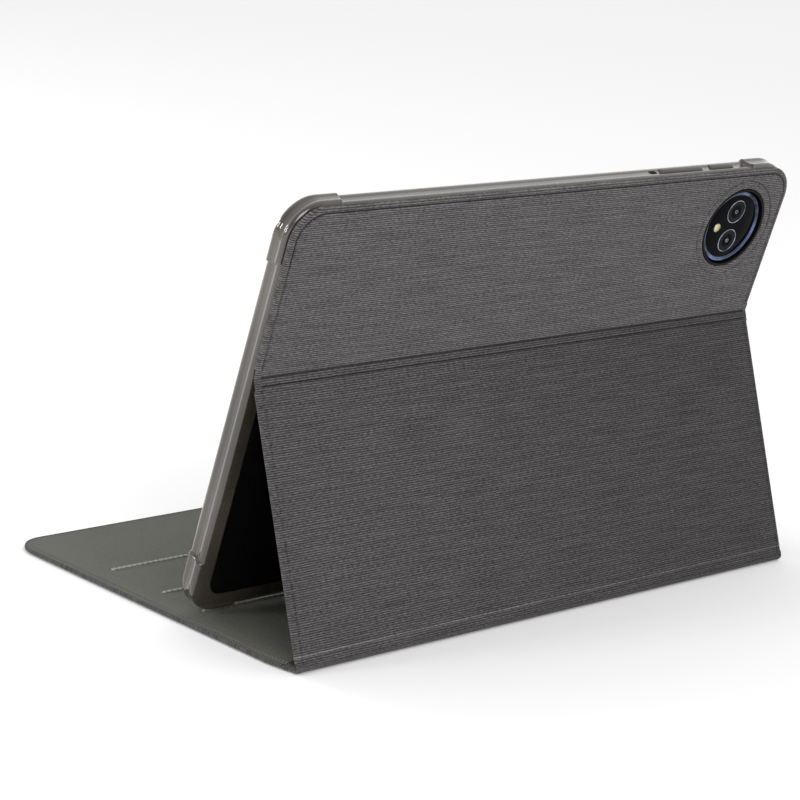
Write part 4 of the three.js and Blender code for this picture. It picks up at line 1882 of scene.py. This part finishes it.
@dataclass
class RearCamera:
    """Camera island: knurled barrel, blue ring, black glass, two ringed lenses and a flash."""

    strip: FoldedStrip
    finishes: Finishes
    glass_radius: float = 14.2 * MM
    ring_radius: float = 15.9 * MM
    lens_ring_radius: float = 5.2 * MM

    def turned(self, name: str, centre: Point, profile: Sequence[Point], finish: bpy.types.Material,
               slot: Slot, *nodes: str, steps: int = 96,
               ripple: Callable[[float, int], float] | None = None) -> None:
        """Makes and dresses a turned piece that rides on the tablet.

        Args:
            name: the piece's name.
            centre: its axis on the tray.
            profile: (radius, depth) points in millimetres.
            finish: its material.
            slot: the record's slot.
            nodes: the frame nodes that it replaces.
            steps: spans round the axis.
            ripple: a radius change from the angle and the point's index.
        """
        places = [(r * MM, z * MM) for r, z in profile]
        obj = lathe(name, self.strip.panel(Body.TRAY), centre, places, steps, ripple)
        dress(obj, finish, Body.TABLET, slot, *nodes)

    def build(self) -> None:
        """Builds the island from its barrel inwards."""
        centre = camera_centre(self.strip)
        low, high = on_tray(self.strip, "camera_ring")
        top, base = low.z / MM, high.z / MM
        ring, glass = self.ring_radius / MM, self.glass_radius / MM
        barrel = [
            (ring - 0.2, base),
            (ring + 0.25, base),
            (ring + 0.25, top + 1.25),
            (ring + 0.1, top + 0.75),
            (ring - 0.2, top + 0.7),
        ]
        knurls = 110
        self.turned("camera_barrel", centre, barrel, self.finishes.black, Slot.BLACK, steps=knurls * 4,
                    ripple=lambda a, k: 0.12 * MM * math.cos(knurls * a) if k in (1, 2, 3) else 0.0)
        bevel = [
            (ring - 0.25, base - 0.2),
            (ring - 0.02, top + 0.9),
            (ring, top + 0.35),
            (ring - 0.2, top + 0.06),
            (ring - 0.6, top),
            (ring - 1.0, top + 0.12),
            (glass + 0.35, top + 0.42),
            (glass + 0.05, top + 0.55),
            (glass, top + 0.75),
            (glass, base - 0.2),
        ]
        self.turned("camera_bezel_ring", centre, bevel, self.finishes.ring, Slot.RING, "camera_ring",
                    steps=128)
        face = top + 0.5
        disc = [(0.0, face), (glass * 0.5, face), (glass - 0.35, face), (glass - 0.08, face + 0.1),
                (glass - 0.05, face + 0.3), (glass - 0.05, base - 0.3), (0.0, base - 0.3)]
        self.turned("camera_cover_glass", centre, disc, self.finishes.camera_glass, Slot.CAMERA_GLASS,
                    "camera_glass")
        for word, side in (("upper", 1), ("lower", -1)):
            place = (centre[0] - 0.5 * MM, centre[1] + side * 6.6 * MM)
            self.lens(word, place, face)
        place = (centre[0] + 8.5 * MM, centre[1] - 0.1 * MM)
        dome = [(0.0, face - 0.28), (0.8, face - 0.24), (1.4, face - 0.14), (1.75, face),
                (1.75, face + 0.3), (0.0, face + 0.3)]
        self.turned("flash_dome", place, dome, self.finishes.flash, Slot.FLASH, "flash_lens", steps=48)
        rim = [(1.75, face - 0.02), (1.8, face - 0.12), (2.0, face - 0.12), (2.1, face - 0.02),
               (2.1, face + 0.2), (1.75, face + 0.2)]
        self.turned("flash_rim", place, rim, self.finishes.lens_ring, Slot.RING, steps=48)

    def lens(self, word: str, place: Point, face: float) -> None:
        """One lens: a thin bright ring, a black stepped funnel, a coated glass and a small bright metal ring
        at its centre that stands in for a glint.

        Args:
            word: upper or lower.
            place: its axis on the tray.
            face: the glass's depth in millimetres.
        """
        outer = self.lens_ring_radius / MM
        ring = [
            (outer - 0.42, face + 0.02),
            (outer - 0.36, face - 0.1),
            (outer - 0.18, face - 0.15),
            (outer - 0.04, face - 0.08),
            (outer, face + 0.02),
            (outer, face + 0.2),
            (outer - 0.42, face + 0.2),
        ]
        self.turned(f"lens_ring_{word}", place, ring, self.finishes.lens_ring, Slot.RING, steps=96)
        funnel = [
            (outer - 0.5, face + 0.1),
            (outer - 0.6, face - 0.05),
            (outer - 1.5, face - 0.03),
            (outer - 1.8, face - 0.02),
            (outer - 2.2, face - 0.05),
            (outer - 2.4, face + 0.1),
        ]
        self.turned(f"lens_funnel_{word}", place, funnel, self.finishes.black, Slot.BLACK, steps=64)
        dome = [(0.0, face - 0.16), (0.45, face - 0.13), (0.9, face - 0.02), (1.4, face), (2.5, face),
                (2.6, face + 0.2), (0.0, face + 0.2)]
        self.turned(f"lens_glass_{word}", place, dome, self.finishes.lens, Slot.LENS,
                    f"camera_lens_{word}", steps=64)
        # A small bright ring that stands in for the glint at the lens's centre.
        glint_ring = [(0.5, face - 0.1), (0.56, face - 0.2), (0.74, face - 0.2), (0.82, face - 0.06),
                (0.5, face + 0.05)]
        self.turned(f"lens_iris_{word}", place, glint_ring, self.finishes.lens_ring, Slot.LENS, steps=32)


@dataclass
class HiddenPieces:
    """Frame nodes whose shape stays: boards, magnets, bonding sheet and the hole's collar."""

    finishes: Finishes

    def build(self) -> None:
        """Gives each node its finish."""
        rows = {
            "cover_board": self.finishes.board,
            "leg_board": self.finishes.board,
            "upper_board": self.finishes.board,
            "bonding_sheet": self.finishes.bond,
            "closure_magnet_left": self.finishes.magnet,
            "closure_magnet_right": self.finishes.magnet,
            "sleep_magnet": self.finishes.magnet,
            "camera_collar": self.finishes.black,
        }
        for node, finish in rows.items():
            obj = frame["nodes"][node]
            obj.data.materials.clear()
            obj.data.materials.append(finish)
            LOG.info("%s keeps its shape", node)


@dataclass(frozen=True)
class ClothSheet:
    """One glued layer of cloth, with the size it is cut to and what it is glued over."""

    piece: str
    width: float
    length: float
    held: str
    board: str
    with_pieces: tuple[str, ...] = ()
    area: float | None = None

    def declare(self) -> None:
        """Says that the piece is a sheet."""
        LOG.info("%s is a sheet of %.4f by %.4f m", self.piece, self.width, self.length)


SHEETS = (
    ClothSheet("cover_fabric", 0.2770, 0.1650, "laid", "cover_board", ("cover_fabric_soft_edge",)),
    ClothSheet("leg_fabric_panel", 0.2720, 0.0980, "stretched", "leg_board",
               ("foot_fabric", "valley_fabric")),
    ClothSheet("upper_fabric", 0.2720, 0.0635, "stretched", "upper_board", area=0.01621),
    ClothSheet("cover_lining_panel", 0.2750, 0.1635, "laid", "cover_board",
               ("cover_lining_soft_edge", "stand_rib_1", "stand_rib_2", "stand_rib_3")),
    ClothSheet("leg_lining_panel", 0.2700, 0.0980, "stretched", "leg_board",
               ("foot_lining", "valley_lining")),
)


# ---- studio ----


@dataclass
class Studio:
    """Pale floor, soft lights and the camera."""

    camera_place: Vector = field(default_factory=lambda: Vector((0.74818, 0.7723, 0.33666)))
    yaw: float = 43.63
    pitch: float = 14.16
    roll: float = 4.33
    lens: float = 121.5
    room_shade: float = 0.4

    def add_camera(self) -> None:
        """Adds the camera at its angle."""
        yaw, pitch, roll = (math.radians(a) for a in (self.yaw, self.pitch, self.roll))
        level = math.cos(pitch)
        forward = Vector((-math.sin(yaw) * level, -math.cos(yaw) * level, -math.sin(pitch)))
        right = forward.cross(Vector((0, 0, 1))).normalized()
        up = right.cross(forward)
        across = right * math.cos(roll) + up * math.sin(roll)
        tall = up * math.cos(roll) - right * math.sin(roll)
        data = bpy.data.cameras.new("camera")
        data.lens = self.lens
        data.sensor_width = 36
        data.clip_end = 20
        camera = bpy.data.objects.new("camera", data)
        camera.matrix_world = Matrix((
            (across.x, tall.x, -forward.x, self.camera_place.x),
            (across.y, tall.y, -forward.y, self.camera_place.y),
            (across.z, tall.z, -forward.z, self.camera_place.z),
            (0, 0, 0, 1),
        ))
        bpy.context.scene.collection.objects.link(camera)
        bpy.context.scene.camera = camera

    def add_light(self, name: str, place: Sequence[float], target: Sequence[float], size: float,
                  power: float) -> None:
        """Adds a square area light aimed at a point.

        Args:
            name: the light's name.
            place: where it hangs.
            target: what it is aimed at.
            size: the length of its side.
            power: in watts.
        """
        data = bpy.data.lights.new(name, "AREA")
        data.size = size
        data.energy = power
        light = bpy.data.objects.new(name, data)
        light.location = place
        light.rotation_euler = (Vector(target) - Vector(place)).to_track_quat("-Z", "Y").to_euler()
        bpy.context.scene.collection.objects.link(light)

    def add_floor(self) -> None:
        """Adds a wide pale floor just under the case."""
        half, drop = 6.0, 0.2 * MM
        turns = ((-1, -1), (1, -1), (1, 1), (-1, 1))
        corners = [Vector((x * half, y * half, -drop)) for x, y in turns]
        floor = new_object("studio_floor", corners, [(0, 1, 2, 3)])
        tree = NodeTree.start("studio_floor")
        pale, white = (0.95, 0.95, 0.95, 1.0), (1.0, 1.0, 1.0, 1.0)
        finish = tree.surface(Base_Color=pale, Roughness=0.9, Emission_Color=white, Emission_Strength=0.09)
        floor.data.materials.append(finish)

    def shade_world(self, world: bpy.types.World) -> None:
        """Gives the world a white wall behind the case and a greyer room on the camera's side.

        Args:
            world: the scene's world.
        """
        tree = world.node_tree
        background = tree.nodes["Background"]
        place = tree.nodes.new("ShaderNodeTexCoord")
        turn = tree.nodes.new("ShaderNodeVectorMath")
        turn.operation = "DOT_PRODUCT"
        turn.inputs[1].default_value = (0.68, 0.71, 0.0)
        fall = tree.nodes.new("ShaderNodeMapRange")
        fall.interpolation_type = "SMOOTHSTEP"
        span = {"From Min": -0.1, "From Max": 0.8, "To Min": 0.97, "To Max": self.room_shade}
        for name, value in span.items():
            fall.inputs[name].default_value = value
        tree.links.new(place.outputs["Generated"], turn.inputs[0])
        tree.links.new(turn.outputs["Value"], fall.inputs["Value"])
        tree.links.new(fall.outputs[0], background.inputs["Strength"])
        background.inputs["Color"].default_value = (1.0, 1.0, 1.0, 1.0)

    def build(self) -> None:
        """Builds the studio."""
        scene = bpy.context.scene
        scene.view_settings.view_transform = "Standard"
        world = bpy.data.worlds.new("studio")
        world.use_nodes = True
        self.shade_world(world)
        scene.world = world
        self.add_floor()
        self.add_light("key", (0.6, 1.5, 0.9), (0, 0, 0.08), 1.0, 14.0)
        self.add_light("side", (1.5, -0.4, 0.5), (0, 0, 0.08), 0.3, 6.0)
        self.add_light("front", (0.4, -1.5, 0.5), (0, 0, 0.08), 0.3, 4.0)
        self.add_camera()


def main() -> None:
    """Builds the case, piece by piece, and the studio."""
    logging.basicConfig(level=logging.INFO, format="%(message)s")
    random.seed(SEED)
    Studio().build()
    finishes = Finishes.make()
    # A slide out of the tray runs straight away from its back, so it gives the tray's own direction.
    away = joint_axis("tablet_lift_out")
    tray_up = Vector((0.0, away.z, -away.y))
    strip = FoldedStrip(joint_place("foot_fold"), joint_place("valley_fold"), tray_up)
    FrontCover(strip, finishes).build()
    LegAndFolds(strip, finishes).build()
    UpperPanel(strip, finishes).build()
    Tray(strip, finishes).build()
    Keys(strip, finishes).build()
    Tablet(strip, finishes).build()
    RearCamera(strip, finishes).build()
    HiddenPieces(finishes).build()
    for cloth in SHEETS:
        cloth.declare()


if __name__ == "__main__":
    main()
